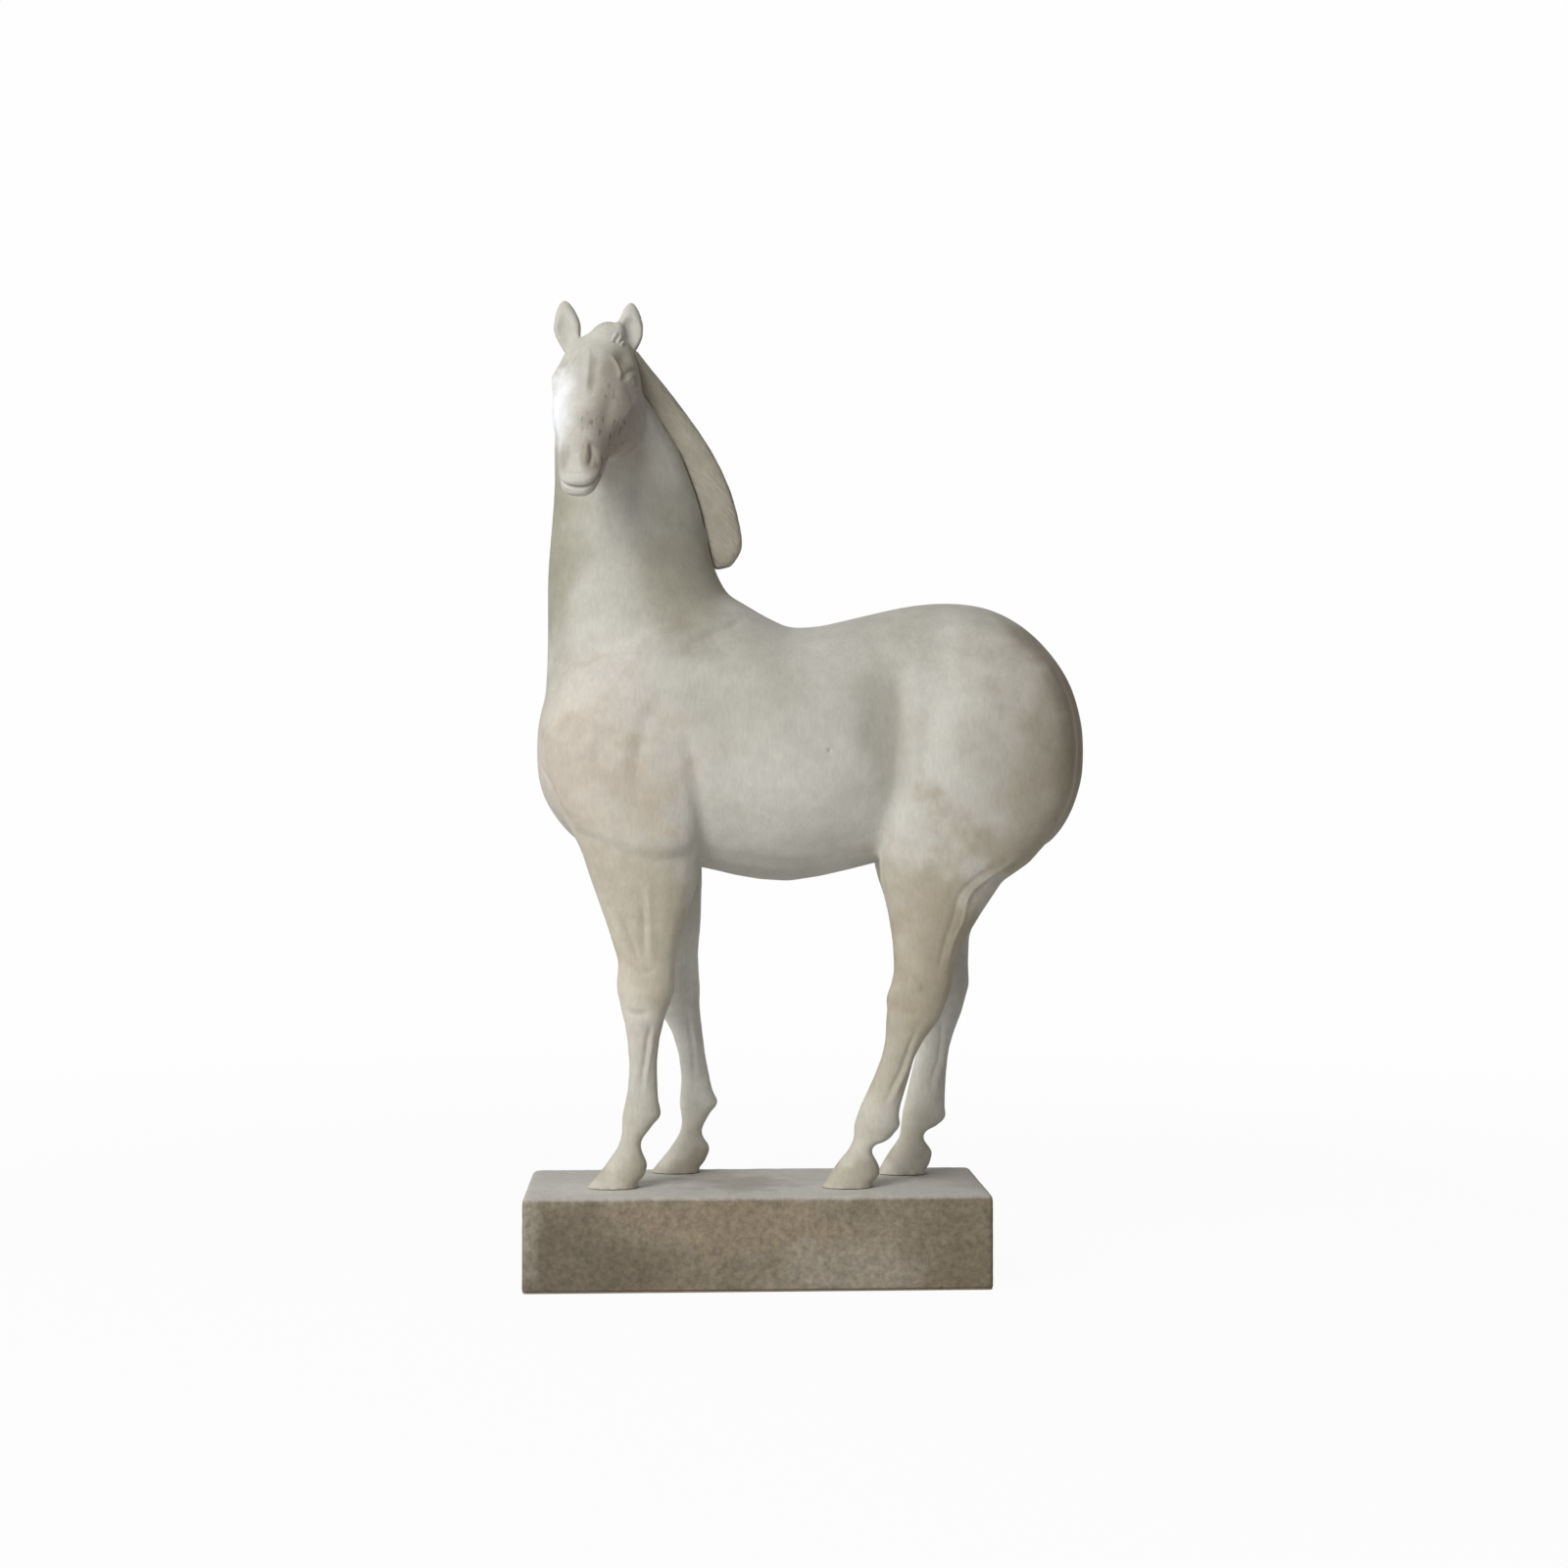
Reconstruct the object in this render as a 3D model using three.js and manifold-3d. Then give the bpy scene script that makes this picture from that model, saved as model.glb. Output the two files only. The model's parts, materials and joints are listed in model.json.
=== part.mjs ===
// A tabletop statue of a standing horse on a plinth, cast in aged off-white stone resin.
// Millimetres, +Z up. The origin is the middle of the underside. The horse faces -X and turns
// its head towards -Y, which is its left side.
import * as THREE from 'three';
import { mergeVertices } from 'three/addons/utils/BufferGeometryUtils.js';
import Module from 'manifold-3d';

const wasm = await Module();
wasm.setup();

// Plinth and felt
const PLINTH_LENGTH = 241;
const PLINTH_DEPTH = 99;
const PLINTH_TOP = 49;
const PLINTH_CORNER = 2.8;
const PLINTH_EDGE = 2.2;
const FELT_THICKNESS = 1;
const FELT_MARGIN = 0.6;

// Castings
const BOND = 0.3;
const SHELL_WALL = 7;
const HORSE_SETBACK = 5;
const ELBOW_PARTING = 158;
const STIFLE_PARTING = 162;
const NECK_PARTING = 396;
const NECK_PLUG = 16;
const NECK_PIN_RISE = 0.55;
const TRUNK_HOLLOW_LEAST = 25;
const PASTERN = 3;

// Steel rods with their nuts, and the pins
const ROD_RADIUS = 2.5;
const ROD_BORE_GAP = 0.4;
const ROD_REACH = 14;
const ROD_TAIL = 2;
const NUT_FLATS = 8;
const NUT_HEIGHT = 4;
const WASHER_RADIUS = 7.5;
const WASHER_HEIGHT = 1.4;
const POCKET_RADIUS = 11;
const POCKET_DEPTH = 12;
const SEAM_PIN_RADIUS = 1.5;
const SEAM_PIN_LENGTH = 9;
const SEAM_PIN_DEPTH = 4.4;
const HEAD_PIN_RADIUS = 2.5;
const HEAD_PIN_LENGTH = 34;
const HEAD_PIN_X = -74;

// Head
const HEAD_TURN = THREE.MathUtils.degToRad(80.8);
const HEAD_DROP = THREE.MathUtils.degToRad(50);
const POLL = new THREE.Vector3(-82.8, -18, 447);
const EAR_DOWN = -2;
const EAR_OUT = -7;
const EAR_HOLLOW_SHARE = 0.78;
const EAR_HOLLOW_FORWARD = 5;

// Every horse station is measured from the plinth's top and the horse's middle plane.
// Trunk, chest to buttocks: top and bottom line, the height of its widest point and half width
const TRUNK = [
  { x: -115.5, top: 239, bottom: 217, widest: 228, half: 9 },
  { x: -112.5, top: 253, bottom: 204, widest: 228, half: 21 },
  { x: -104, top: 272, bottom: 190, widest: 229, half: 31 },
  { x: -90, top: 291, bottom: 177, widest: 231, half: 38 },
  { x: -65, top: 307, bottom: 167, widest: 233, half: 43 },
  { x: -36, top: 314, bottom: 167.5, widest: 236, half: 45 },
  { x: -10, top: 309, bottom: 161.8, widest: 233, half: 47 },
  { x: 18, top: 293.5, bottom: 158.8, widest: 227, half: 49 },
  { x: 50, top: 298.5, bottom: 164.8, widest: 229, half: 46 },
  { x: 75, top: 304.5, bottom: 171, widest: 235, half: 41 },
  { x: 98, top: 307.5, bottom: 174, widest: 239, half: 39.5 },
  { x: 122, top: 305.5, bottom: 173, widest: 239, half: 39 },
  { x: 142, top: 296, bottom: 173, widest: 237, half: 35 },
  { x: 158, top: 281, bottom: 179, widest: 233, half: 27 },
  { x: 169.5, top: 263, bottom: 195, widest: 230, half: 18 },
  { x: 175.5, top: 241, bottom: 214, widest: 228, half: 8 },
];

// Neck, chest to poll: front line, crest line, half width, and its bend to the left at the top
const NECK = [
  { z: 216, front: -108, back: -20, half: 32, aside: 0 },
  { z: 250, front: -111.5, back: -8, half: 34, aside: 0 },
  { z: 281, front: -110.7, back: -6, half: 33, aside: 0 },
  { z: 301, front: -110.7, back: -8, half: 31, aside: 0 },
  { z: 314, front: -110.8, back: -16, half: 29, aside: 0 },
  { z: 327, front: -110.3, back: -22, half: 27, aside: 0 },
  { z: 343, front: -109, back: -25.5, half: 25, aside: 0 },
  { z: 359, front: -107.7, back: -29.4, half: 24, aside: -1 },
  { z: 373, front: -106.8, back: -34.4, half: 23, aside: -2.5 },
  { z: 387, front: -106.3, back: -40.6, half: 22, aside: -4.5 },
  { z: 401, front: -104.5, back: -50, half: 21, aside: -7 },
  { z: 416, front: -100, back: -60, half: 18, aside: -10 },
  { z: 429, front: -94, back: -67, half: 14, aside: -13 },
  { z: 438, front: -88, back: -73, half: 8, aside: -15 },
];

// Fore limb, sole to withers: length along the horse, half width, and the middle of each leg
const FORE_LIMB = [
  { z: 0, long: 28, half: 9.5, leftX: -74.4, leftY: -21.5, rightX: -41.5, rightY: 31 },
  { z: 6, long: 24.4, half: 9, leftX: -70.5, leftY: -21.5, rightX: -38.3, rightY: 31 },
  { z: 11.5, long: 20.5, half: 8.5, leftX: -68.4, leftY: -21.5, rightX: -35.6, rightY: 31 },
  { z: 20, long: 12.8, half: 6.2, leftX: -66.2, leftY: -21.5, rightX: -33.8, rightY: 30.5 },
  { z: 27, long: 12.4, half: 6.3, leftX: -64, leftY: -21.5, rightX: -32.3, rightY: 30 },
  { z: 37, long: 19.4, half: 7.6, leftX: -60.4, leftY: -21.5, rightX: -30.4, rightY: 29.5 },
  { z: 51, long: 15.4, half: 6, leftX: -59.4, leftY: -21.5, rightX: -31.4, rightY: 29 },
  { z: 64, long: 14.4, half: 5.7, leftX: -59.3, leftY: -21.5, rightX: -33.4, rightY: 28.5 },
  { z: 77, long: 16.8, half: 6.6, leftX: -59.1, leftY: -21.5, rightX: -36.2, rightY: 28 },
  { z: 89, long: 22.6, half: 9, leftX: -59, leftY: -21.5, rightX: -40.5, rightY: 27.5 },
  { z: 102, long: 29.6, half: 10.6, leftX: -57.4, leftY: -21.5, rightX: -44, rightY: 27 },
  { z: 118, long: 30, half: 11, leftX: -57.3, leftY: -22, rightX: -45.2, rightY: 26.5 },
  { z: 138, long: 41, half: 14, leftX: -58.2, leftY: -22.5, rightX: -49, rightY: 26 },
  { z: 158, long: 55, half: 18, leftX: -58.4, leftY: -23, rightX: -55.5, rightY: 25.5 },
  { z: 176, long: 64, half: 21, leftX: -60, leftY: -24, rightX: -60, rightY: 25 },
  { z: 201, long: 80, half: 22.5, leftX: -66, leftY: -24.5, rightX: -66, rightY: 24.5 },
  { z: 231, long: 88, half: 22, leftX: -68, leftY: -25, rightX: -68, rightY: 25 },
  { z: 261, long: 76, half: 19, leftX: -60, leftY: -24, rightX: -60, rightY: 24 },
  { z: 288, long: 46, half: 12, leftX: -46, leftY: -20, rightX: -46, rightY: 20 },
];

// Hind limb, sole to croup, in the same way
const HIND_LIMB = [
  { z: 0, long: 28.3, half: 9.5, leftX: 48, leftY: -25, rightX: 81, rightY: 20 },
  { z: 5, long: 26, half: 9, leftX: 50.5, leftY: -25, rightX: 82.6, rightY: 20 },
  { z: 11.5, long: 21, half: 8.5, leftX: 52.3, leftY: -25, rightX: 84.2, rightY: 20 },
  { z: 19, long: 13.6, half: 6.4, leftX: 55, leftY: -25, rightX: 86, rightY: 20 },
  { z: 25.5, long: 19.5, half: 6.8, leftX: 60.8, leftY: -25, rightX: 89.7, rightY: 20.5 },
  { z: 32, long: 23, half: 7.8, leftX: 62.3, leftY: -25, rightX: 92.2, rightY: 21 },
  { z: 41, long: 21, half: 7.2, leftX: 64.5, leftY: -24.5, rightX: 93.3, rightY: 21 },
  { z: 56, long: 18.6, half: 6.2, leftX: 70.3, leftY: -24.5, rightX: 95.6, rightY: 21.5 },
  { z: 67, long: 17.4, half: 6, leftX: 74, leftY: -24.5, rightX: 97.6, rightY: 22 },
  { z: 76, long: 20.1, half: 7, leftX: 77.4, leftY: -24.5, rightX: 98.9, rightY: 22 },
  { z: 87, long: 28.4, half: 8.8, leftX: 82, leftY: -24, rightX: 99, rightY: 22 },
  { z: 102, long: 32, half: 9.6, leftX: 85.9, leftY: -24, rightX: 101.4, rightY: 22 },
  { z: 113, long: 31.5, half: 10, leftX: 87.8, leftY: -24, rightX: 101, rightY: 22 },
  { z: 128, long: 38, half: 12, leftX: 90.2, leftY: -23.5, rightX: 98.5, rightY: 22.5 },
  { z: 143, long: 49.6, half: 15, leftX: 93.7, leftY: -23, rightX: 98, rightY: 22.5 },
  { z: 159, long: 64.6, half: 18.5, leftX: 97.1, leftY: -22.5, rightX: 100, rightY: 22.5 },
  { z: 169, long: 80, half: 20.5, leftX: 104, leftY: -22.5, rightX: 105, rightY: 22.5 },
  { z: 184, long: 91, half: 22, leftX: 112, leftY: -23, rightX: 112, rightY: 23 },
  { z: 205, long: 97, half: 24, leftX: 119, leftY: -23, rightX: 119, rightY: 23 },
  { z: 228, long: 96, half: 24.5, leftX: 122, leftY: -22.5, rightX: 122, rightY: 22.5 },
  { z: 252, long: 91, half: 23, leftX: 121.5, leftY: -22, rightX: 121.5, rightY: 22 },
  { z: 274, long: 78, half: 19, leftX: 118, leftY: -20, rightX: 118, rightY: 20 },
  { z: 294, long: 46, half: 12, leftX: 112, leftY: -16, rightX: 112, rightY: 16 },
];

// Head, poll to lips: distance down the face, face and jaw lines, its widest point and half width
const HEAD = [
  { down: -4, face: -4, jaw: -14, widest: -9, half: 8 },
  { down: 1, face: 1, jaw: -22, widest: -9, half: 15 },
  { down: 12, face: 2, jaw: -36, widest: -11, half: 20.2 },
  { down: 24, face: 1.5, jaw: -46, widest: -14, half: 22.8 },
  { down: 34, face: 0.5, jaw: -50, widest: -20, half: 23 },
  { down: 46, face: 0, jaw: -47, widest: -22, half: 22.3 },
  { down: 58, face: 0, jaw: -36, widest: -17, half: 19 },
  { down: 73, face: 0.5, jaw: -27, widest: -12, half: 14.3 },
  { down: 87, face: 1, jaw: -24, widest: -11, half: 12 },
  { down: 97.5, face: -1, jaw: -24, widest: -12, half: 11.2 },
  { down: 103.5, face: -5, jaw: -21.5, widest: -13, half: 9 },
  { down: 106.5, face: -9, jaw: -17, widest: -13, half: 4.5 },
];
const EYE = { down: 29.5, out: -9.5, aside: 18.4, radius: 4.4 };

// Ear, root to tip: half width and depth, with the same leaf made smaller for its hollow
const EAR = [
  { along: -6, half: 2.6, deep: 3 },
  { along: -1, half: 4.8, deep: 4.4 },
  { along: 4.5, half: 7.2, deep: 4.7 },
  { along: 9.5, half: 7.3, deep: 4.5 },
  { along: 16, half: 5.3, deep: 3.5 },
  { along: 20.3, half: 3, deep: 2 },
  { along: 22.4, half: 1.1, deep: 0.8 },
];
const EARS = [
  { name: 'ear_left', aside: 14.6, rise: -2.5, lean: 4, turn: 20 },
  { name: 'ear_right', aside: -17.3, rise: -0.3, lean: -7, turn: 0 },
];

// Mane, from between the ears to its free end: root and outer edge, its bend and half thickness
const MANE = [
  { rootX: -88, rootZ: 440, edgeX: -86, edgeZ: 449.5, aside: -17, half: 3 },
  { rootX: -82, rootZ: 437, edgeX: -80, edgeZ: 453.2, aside: -16.5, half: 5 },
  { rootX: -76, rootZ: 432, edgeX: -71.5, edgeZ: 451.5, aside: -15.5, half: 6 },
  { rootX: -69, rootZ: 423, edgeX: -61, edgeZ: 436, aside: -13, half: 5.5 },
  { rootX: -61, rootZ: 411, edgeX: -49.5, edgeZ: 422.5, aside: -10, half: 5 },
  { rootX: -51, rootZ: 396, edgeX: -37, edgeZ: 407, aside: -6.5, half: 4.5 },
  { rootX: -43, rootZ: 380, edgeX: -23.6, edgeZ: 388, aside: -3.5, half: 4.5 },
  { rootX: -38, rootZ: 362, edgeX: -13.2, edgeZ: 367, aside: -1, half: 4.5 },
  { rootX: -33, rootZ: 345, edgeX: -7.7, edgeZ: 346, aside: 0, half: 4.5 },
  { rootX: -29, rootZ: 332, edgeX: -7.4, edgeZ: 335, aside: 0, half: 4 },
  { rootX: -26, rootZ: 324, edgeX: -13, edgeZ: 326.5, aside: 0, half: 2.5 },
];

/** The station at a height, read off the straight line between its two neighbours. */
function stationAt(stations, height) {
  const next = stations.findIndex((s) => s.z > height);
  const [low, high] = [stations[next - 1], stations[next]];
  const share = (height - low.z) / (high.z - low.z);
  const keys = Object.keys(low);
  return Object.fromEntries(keys.map((k) => [k, THREE.MathUtils.lerp(low[k], high[k], share)]));
}

// Pins that line the two shells up: the station each one sits at, and the line it sits just inside
const WITHERS = NECK[4].z;
const NECK_PINNED = stationAt(NECK, THREE.MathUtils.lerp(WITHERS, NECK_PARTING, NECK_PIN_RISE));
const SEAM_PINS = [
  { name: 'loin', station: TRUNK[7], line: 'top', inward: -1 },
  { name: 'croup', station: TRUNK[10], line: 'top', inward: -1 },
  { name: 'belly', station: TRUNK[8], line: 'bottom', inward: 1 },
  { name: 'brisket', station: TRUNK[3], line: 'bottom', inward: 1 },
  { name: 'throat', station: NECK_PINNED, line: 'front', inward: 1 },
  { name: 'crest', station: NECK_PINNED, line: 'back', inward: -1 },
];

// How finely the surfaces are stepped, and how square every section is
const TRUNK_POINTS = 28;
const NECK_POINTS = 22;
const LIMB_POINTS = 16;
const LEAF_POINTS = 12;
const HOLLOW_POINTS = 14;
const ROUND_POINTS = 8;
const ROD_STEPS = 20;
const CORNER_STEPS = 3;
const SQUARENESS = 2.2;

const CAST = new THREE.MeshStandardMaterial({ color: 0xc9c5b6, roughness: 0.7, metalness: 0 });
const STONE = new THREE.MeshStandardMaterial({ color: 0x8f8676, roughness: 0.85, metalness: 0 });
const STEEL = new THREE.MeshStandardMaterial({ color: 0x9a9c9f, roughness: 0.4, metalness: 1 });
const FELT = new THREE.MeshStandardMaterial({ color: 0x3b3833, roughness: 1, metalness: 0 });

/** Closed geometry over rings of equal point counts, with a fan on each end. */
function skin(rings) {
  const count = rings[0].length;
  const last = rings.length - 1;
  const points = rings.flat();
  const middle = (ring) => ring.reduce((sum, p) => sum.add(p), new THREE.Vector3()).divideScalar(count);
  points.push(middle(rings[0]), middle(rings[last]));
  const start = points.length - 2;
  const index = [];
  for (let j = 0; j < count; j += 1) {
    const next = (j + 1) % count;
    for (let i = 0; i < last; i += 1) {
      const [a, b] = [i * count + j, i * count + next];
      index.push(a, b, b + count, a, b + count, a + count);
    }
    index.push(start, next, j, start + 1, last * count + j, last * count + next);
  }
  const geometry = new THREE.BufferGeometry().setFromPoints(points);
  geometry.setIndex(index);
  return geometry;
}

/** One ring about centre: half wide along across, above and below it along up. */
function ring(centre, across, up, half, above, below, count) {
  const power = 2 / SQUARENESS;
  return Array.from({ length: count }, (_, i) => {
    const angle = (i / count) * 2 * Math.PI;
    const [c, s] = [Math.cos(angle), Math.sin(angle)];
    const side = Math.sign(c) * Math.abs(c) ** power * half;
    const rise = Math.sign(s) * Math.abs(s) ** power * (s > 0 ? above : below);
    return centre.clone().addScaledVector(across, side).addScaledVector(up, rise);
  });
}

/** Stations read off a smooth curve through the given ones, with extra steps between each pair. */
function smooth(stations, steps) {
  const keys = Object.keys(stations[0]);
  const last = stations.length - 1;
  const times = stations.map((_, i) => i);
  const values = stations.flatMap((s) => keys.map((k) => s[k]));
  const curve = new THREE.CubicInterpolant(times, values, keys.length);
  return Array.from({ length: last * steps + 1 }, (_, i) => {
    const row = Array.from(curve.evaluate(i / steps));
    return Object.fromEntries(keys.map((k, j) => [k, row[j]]));
  });
}

/** A manifold solid from a three.js geometry. */
function solid(geometry) {
  const bare = geometry.clone();
  bare.deleteAttribute('normal');
  bare.deleteAttribute('uv');
  const merged = mergeVertices(bare, 1e-4);
  return new wasm.Manifold(new wasm.Mesh({
    numProp: 3,
    vertProperties: new Float32Array(merged.attributes.position.array),
    triVerts: new Uint32Array(merged.index.array),
  }));
}

/** A three.js geometry from a manifold solid. */
function geometryOf(body) {
  const { vertProperties, triVerts } = body.getMesh();
  const geometry = new THREE.BufferGeometry();
  geometry.setAttribute('position', new THREE.BufferAttribute(vertProperties, 3));
  geometry.setIndex(new THREE.BufferAttribute(triVerts, 1));
  return geometry;
}

const AXIS = { x: new THREE.Vector3(1, 0, 0), y: new THREE.Vector3(0, 1, 0), z: new THREE.Vector3(0, 0, 1) };
const BACKWARD = AXIS.x;
const LEFT = AXIS.y.clone().negate();

/** Trunk loft through the given stations, drawn in all round by inset. */
function trunk(stations, inset, steps, count) {
  return solid(skin(smooth(stations, steps).map((s) => {
    const centre = new THREE.Vector3(s.x, 0, s.widest);
    const [rise, fall] = [s.top - s.widest - inset, s.widest - s.bottom - inset];
    return ring(centre, AXIS.y, AXIS.z, s.half - inset, rise, fall, count);
  })));
}

/** Neck loft through the given stations, drawn in all round by inset. */
function neck(stations, inset, steps, count) {
  return solid(skin(smooth(stations, steps).map((s) => {
    const centre = new THREE.Vector3((s.front + s.back) / 2, s.aside, s.z);
    const reach = (s.back - s.front) / 2 - inset;
    return ring(centre, LEFT, BACKWARD, s.half - inset, reach, reach, count);
  })));
}

/** Whole limb loft of one side, from sole to its root inside the trunk. */
function limb(stations, side) {
  return solid(skin(stations.map((s) => {
    const centre = new THREE.Vector3(s[`${side}X`], s[`${side}Y`], s.z);
    return ring(centre, LEFT, BACKWARD, s.half, s.long / 2, s.long / 2, LIMB_POINTS);
  })));
}

// The head's own directions: its heading, down the face, out of the face, and to its left cheek
const HEADING = new THREE.Vector3(-Math.cos(HEAD_TURN), -Math.sin(HEAD_TURN), 0);
const FACE_SIDE = AXIS.z.clone().cross(HEADING);
const FACE_DOWN = HEADING.clone().applyAxisAngle(FACE_SIDE, HEAD_DROP);
const FACE_OUT = AXIS.z.clone().applyAxisAngle(FACE_SIDE, HEAD_DROP);

/** A point given in the head's own directions from the poll. */
function onHead(down, out, aside) {
  return POLL.clone()
    .addScaledVector(FACE_DOWN, down)
    .addScaledVector(FACE_OUT, out)
    .addScaledVector(FACE_SIDE, aside);
}

/** Head loft, grown all round by grow. */
function skull(grow) {
  return solid(skin(smooth(HEAD, 2).map((s) => {
    const centre = onHead(s.down, s.widest, 0);
    const [rise, fall] = [s.face - s.widest + grow, s.widest - s.jaw + grow];
    return ring(centre, FACE_SIDE, FACE_OUT, s.half + grow, rise, fall, NECK_POINTS);
  })));
}

/** The leaf shape of one ear, times share, moved forward and grown all round by grow. */
function leaf({ aside, rise, lean, turn }, share, forward, grow) {
  const [tilt, swing] = [THREE.MathUtils.degToRad(lean), THREE.MathUtils.degToRad(turn)];
  const root = onHead(EAR_DOWN, EAR_OUT, aside).addScaledVector(AXIS.z, rise);
  const open = HEADING.clone().multiplyScalar(Math.cos(swing)).addScaledVector(FACE_SIDE, Math.sin(swing));
  const along = AXIS.z.clone().multiplyScalar(Math.cos(tilt)).addScaledVector(FACE_SIDE, Math.sin(tilt));
  const across = open.clone().cross(along).normalize();
  return solid(skin(smooth(EAR, 2).map((s) => {
    const centre = root.clone().addScaledVector(along, s.along * share).addScaledVector(open, forward);
    const [half, deep] = [s.half * share + grow, s.deep * share + grow];
    return ring(centre, across, open, half, deep, deep, LEAF_POINTS);
  })));
}

/** Mane loft: a blade along the crest, with its root sunk below the neck's own surface. */
function mane() {
  return solid(skin(smooth(MANE, 2).map((s) => {
    const root = new THREE.Vector3(s.rootX, s.aside, s.rootZ);
    const edge = new THREE.Vector3(s.edgeX, s.aside, s.edgeZ);
    const rise = edge.clone().sub(root);
    const reach = rise.length() / 2;
    const centre = root.clone().add(edge).divideScalar(2);
    return ring(centre, AXIS.y, rise.normalize(), s.half, reach, reach, LEAF_POINTS);
  })));
}

/** A plain box between two corners. */
function box(low, high) {
  const size = high.clone().sub(low);
  const middle = low.clone().add(high).divideScalar(2);
  const geometry = new THREE.BoxGeometry(size.x, size.y, size.z);
  return solid(geometry.translate(middle.x, middle.y, middle.z));
}

/** A round pin about a middle point, along Y or, if upright, along Z. */
function pin(x, y, z, radius, length, upright) {
  const geometry = new THREE.CylinderGeometry(radius, radius, length, 2 * ROUND_POINTS);
  if (upright) geometry.rotateX(Math.PI / 2);
  return geometry.translate(x, y, z);
}

const FAR = 1000;
const LOW = new THREE.Vector3(-FAR, -FAR, -FAR);
const HIGH = new THREE.Vector3(FAR, FAR, FAR);
const above = (z) => box(LOW.clone().setZ(z), HIGH);
const below = (z) => box(LOW, HIGH.clone().setZ(z));
const leftOf = (y) => box(LOW, HIGH.clone().setY(y));
const rightOf = (y) => box(LOW.clone().setY(y), HIGH);

const LIMBS = [
  { name: 'left_fore', side: 'left', stations: FORE_LIMB, parting: ELBOW_PARTING },
  { name: 'right_fore', side: 'right', stations: FORE_LIMB, parting: ELBOW_PARTING },
  { name: 'left_hind', side: 'left', stations: HIND_LIMB, parting: STIFLE_PARTING },
  { name: 'right_hind', side: 'right', stations: HIND_LIMB, parting: STIFLE_PARTING },
];

// Heights below the horse's soles, which stand on the plinth
const PLINTH_BOTTOM = FELT_THICKNESS + BOND - PLINTH_TOP;
const NUT_SEAT = PLINTH_BOTTOM + POCKET_DEPTH;
const ROD_TIP = NUT_SEAT - WASHER_HEIGHT - NUT_HEIGHT - ROD_TAIL;

/** Where a limb's rod enters the plinth: straight under its pastern, well inside the hoof. */
function rodFoot({ side, stations }) {
  const pastern = stations[PASTERN];
  return new THREE.Vector3(pastern[`${side}X`], pastern[`${side}Y`], pastern.z);
}

/** Centre line of a limb's bent rod, run on past both its ends by extra. */
function rodPath(limbOf, extra) {
  const { side, stations, parting } = limbOf;
  const foot = rodFoot(limbOf);
  const straight = [ROD_TIP - extra, ROD_TIP / 2, 0].map((z) => foot.clone().setZ(z));
  const held = stations.filter((s) => s.z >= foot.z && s.z <= parting);
  const bent = held.map((s) => new THREE.Vector3(s[`${side}X`], s[`${side}Y`], s.z));
  const top = bent[bent.length - 1].clone().setZ(parting + ROD_REACH + extra);
  return new THREE.CatmullRomCurve3([...straight, ...bent, top]);
}

/** A full circle as a shape. */
function disc(radius) {
  return new THREE.Shape().absarc(0, 0, radius, 0, 2 * Math.PI);
}

/** A round tube along a path. */
function tube(path, radius) {
  const options = { steps: ROD_STEPS, extrudePath: path, curveSegments: ROUND_POINTS / 2 };
  return new THREE.ExtrudeGeometry(disc(radius), options);
}

/** A flat plate of a shape, standing on a low height. */
function plate(shape, low, thickness, extras = { bevelEnabled: false, curveSegments: ROUND_POINTS }) {
  return new THREE.ExtrudeGeometry(shape, { depth: thickness, ...extras }).translate(0, 0, low);
}

/** A rectangle with round corners, centred on the origin. */
function roundedRectangle(length, depth, radius) {
  const [x, y] = [length / 2 - radius, depth / 2 - radius];
  return new THREE.Shape()
    .absarc(x, y, radius, 0, Math.PI / 2)
    .absarc(-x, y, radius, Math.PI / 2, Math.PI)
    .absarc(-x, -y, radius, Math.PI, 1.5 * Math.PI)
    .absarc(x, -y, radius, 1.5 * Math.PI, 2 * Math.PI);
}

/** A shape with a round hole for a rod in its middle. */
function holed(shape) {
  shape.holes.push(new THREE.Path().absarc(0, 0, ROD_RADIUS + ROD_BORE_GAP, 0, 2 * Math.PI));
  return shape;
}

/** A hexagon, measured across its flats. */
function hexagon(flats) {
  const corner = flats / Math.sqrt(3);
  const corners = Array.from({ length: 6 }, (_, i) => new THREE.Vector2(corner, 0).rotateAround(
    new THREE.Vector2(),
    (i * Math.PI) / 3,
  ));
  return new THREE.Shape(corners);
}

// Everything is placed from the middle of the soles; the plinth is centred on the origin
const group = new THREE.Group();
const horse = new THREE.Group();
horse.position.set(0, HORSE_SETBACK, PLINTH_TOP);
group.add(horse);

/** Adds one named piece. */
function piece(name, geometry, material) {
  const mesh = new THREE.Mesh(geometry, material);
  mesh.name = name;
  horse.add(mesh);
}

// Felt sheet and plinth block, whose lower edge is left sharp
const [feltLength, feltDepth] = [PLINTH_LENGTH, PLINTH_DEPTH].map((size) => size - 2 * FELT_MARGIN);
const sheet = plate(roundedRectangle(feltLength, feltDepth, PLINTH_CORNER), -PLINTH_TOP, FELT_THICKNESS);
piece('felt_sheet', sheet.translate(0, -HORSE_SETBACK, 0), FELT);
const roundedEdge = {
  bevelThickness: PLINTH_EDGE,
  bevelSize: PLINTH_EDGE,
  bevelOffset: -PLINTH_EDGE,
  bevelSegments: CORNER_STEPS,
  curveSegments: CORNER_STEPS,
};
const outline = roundedRectangle(PLINTH_LENGTH, PLINTH_DEPTH, PLINTH_CORNER);
const block = plate(outline, PLINTH_BOTTOM, -BOND - PLINTH_EDGE - PLINTH_BOTTOM, roundedEdge);
let plinth = solid(block.translate(0, -HORSE_SETBACK, 0)).intersect(above(PLINTH_BOTTOM));

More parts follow.
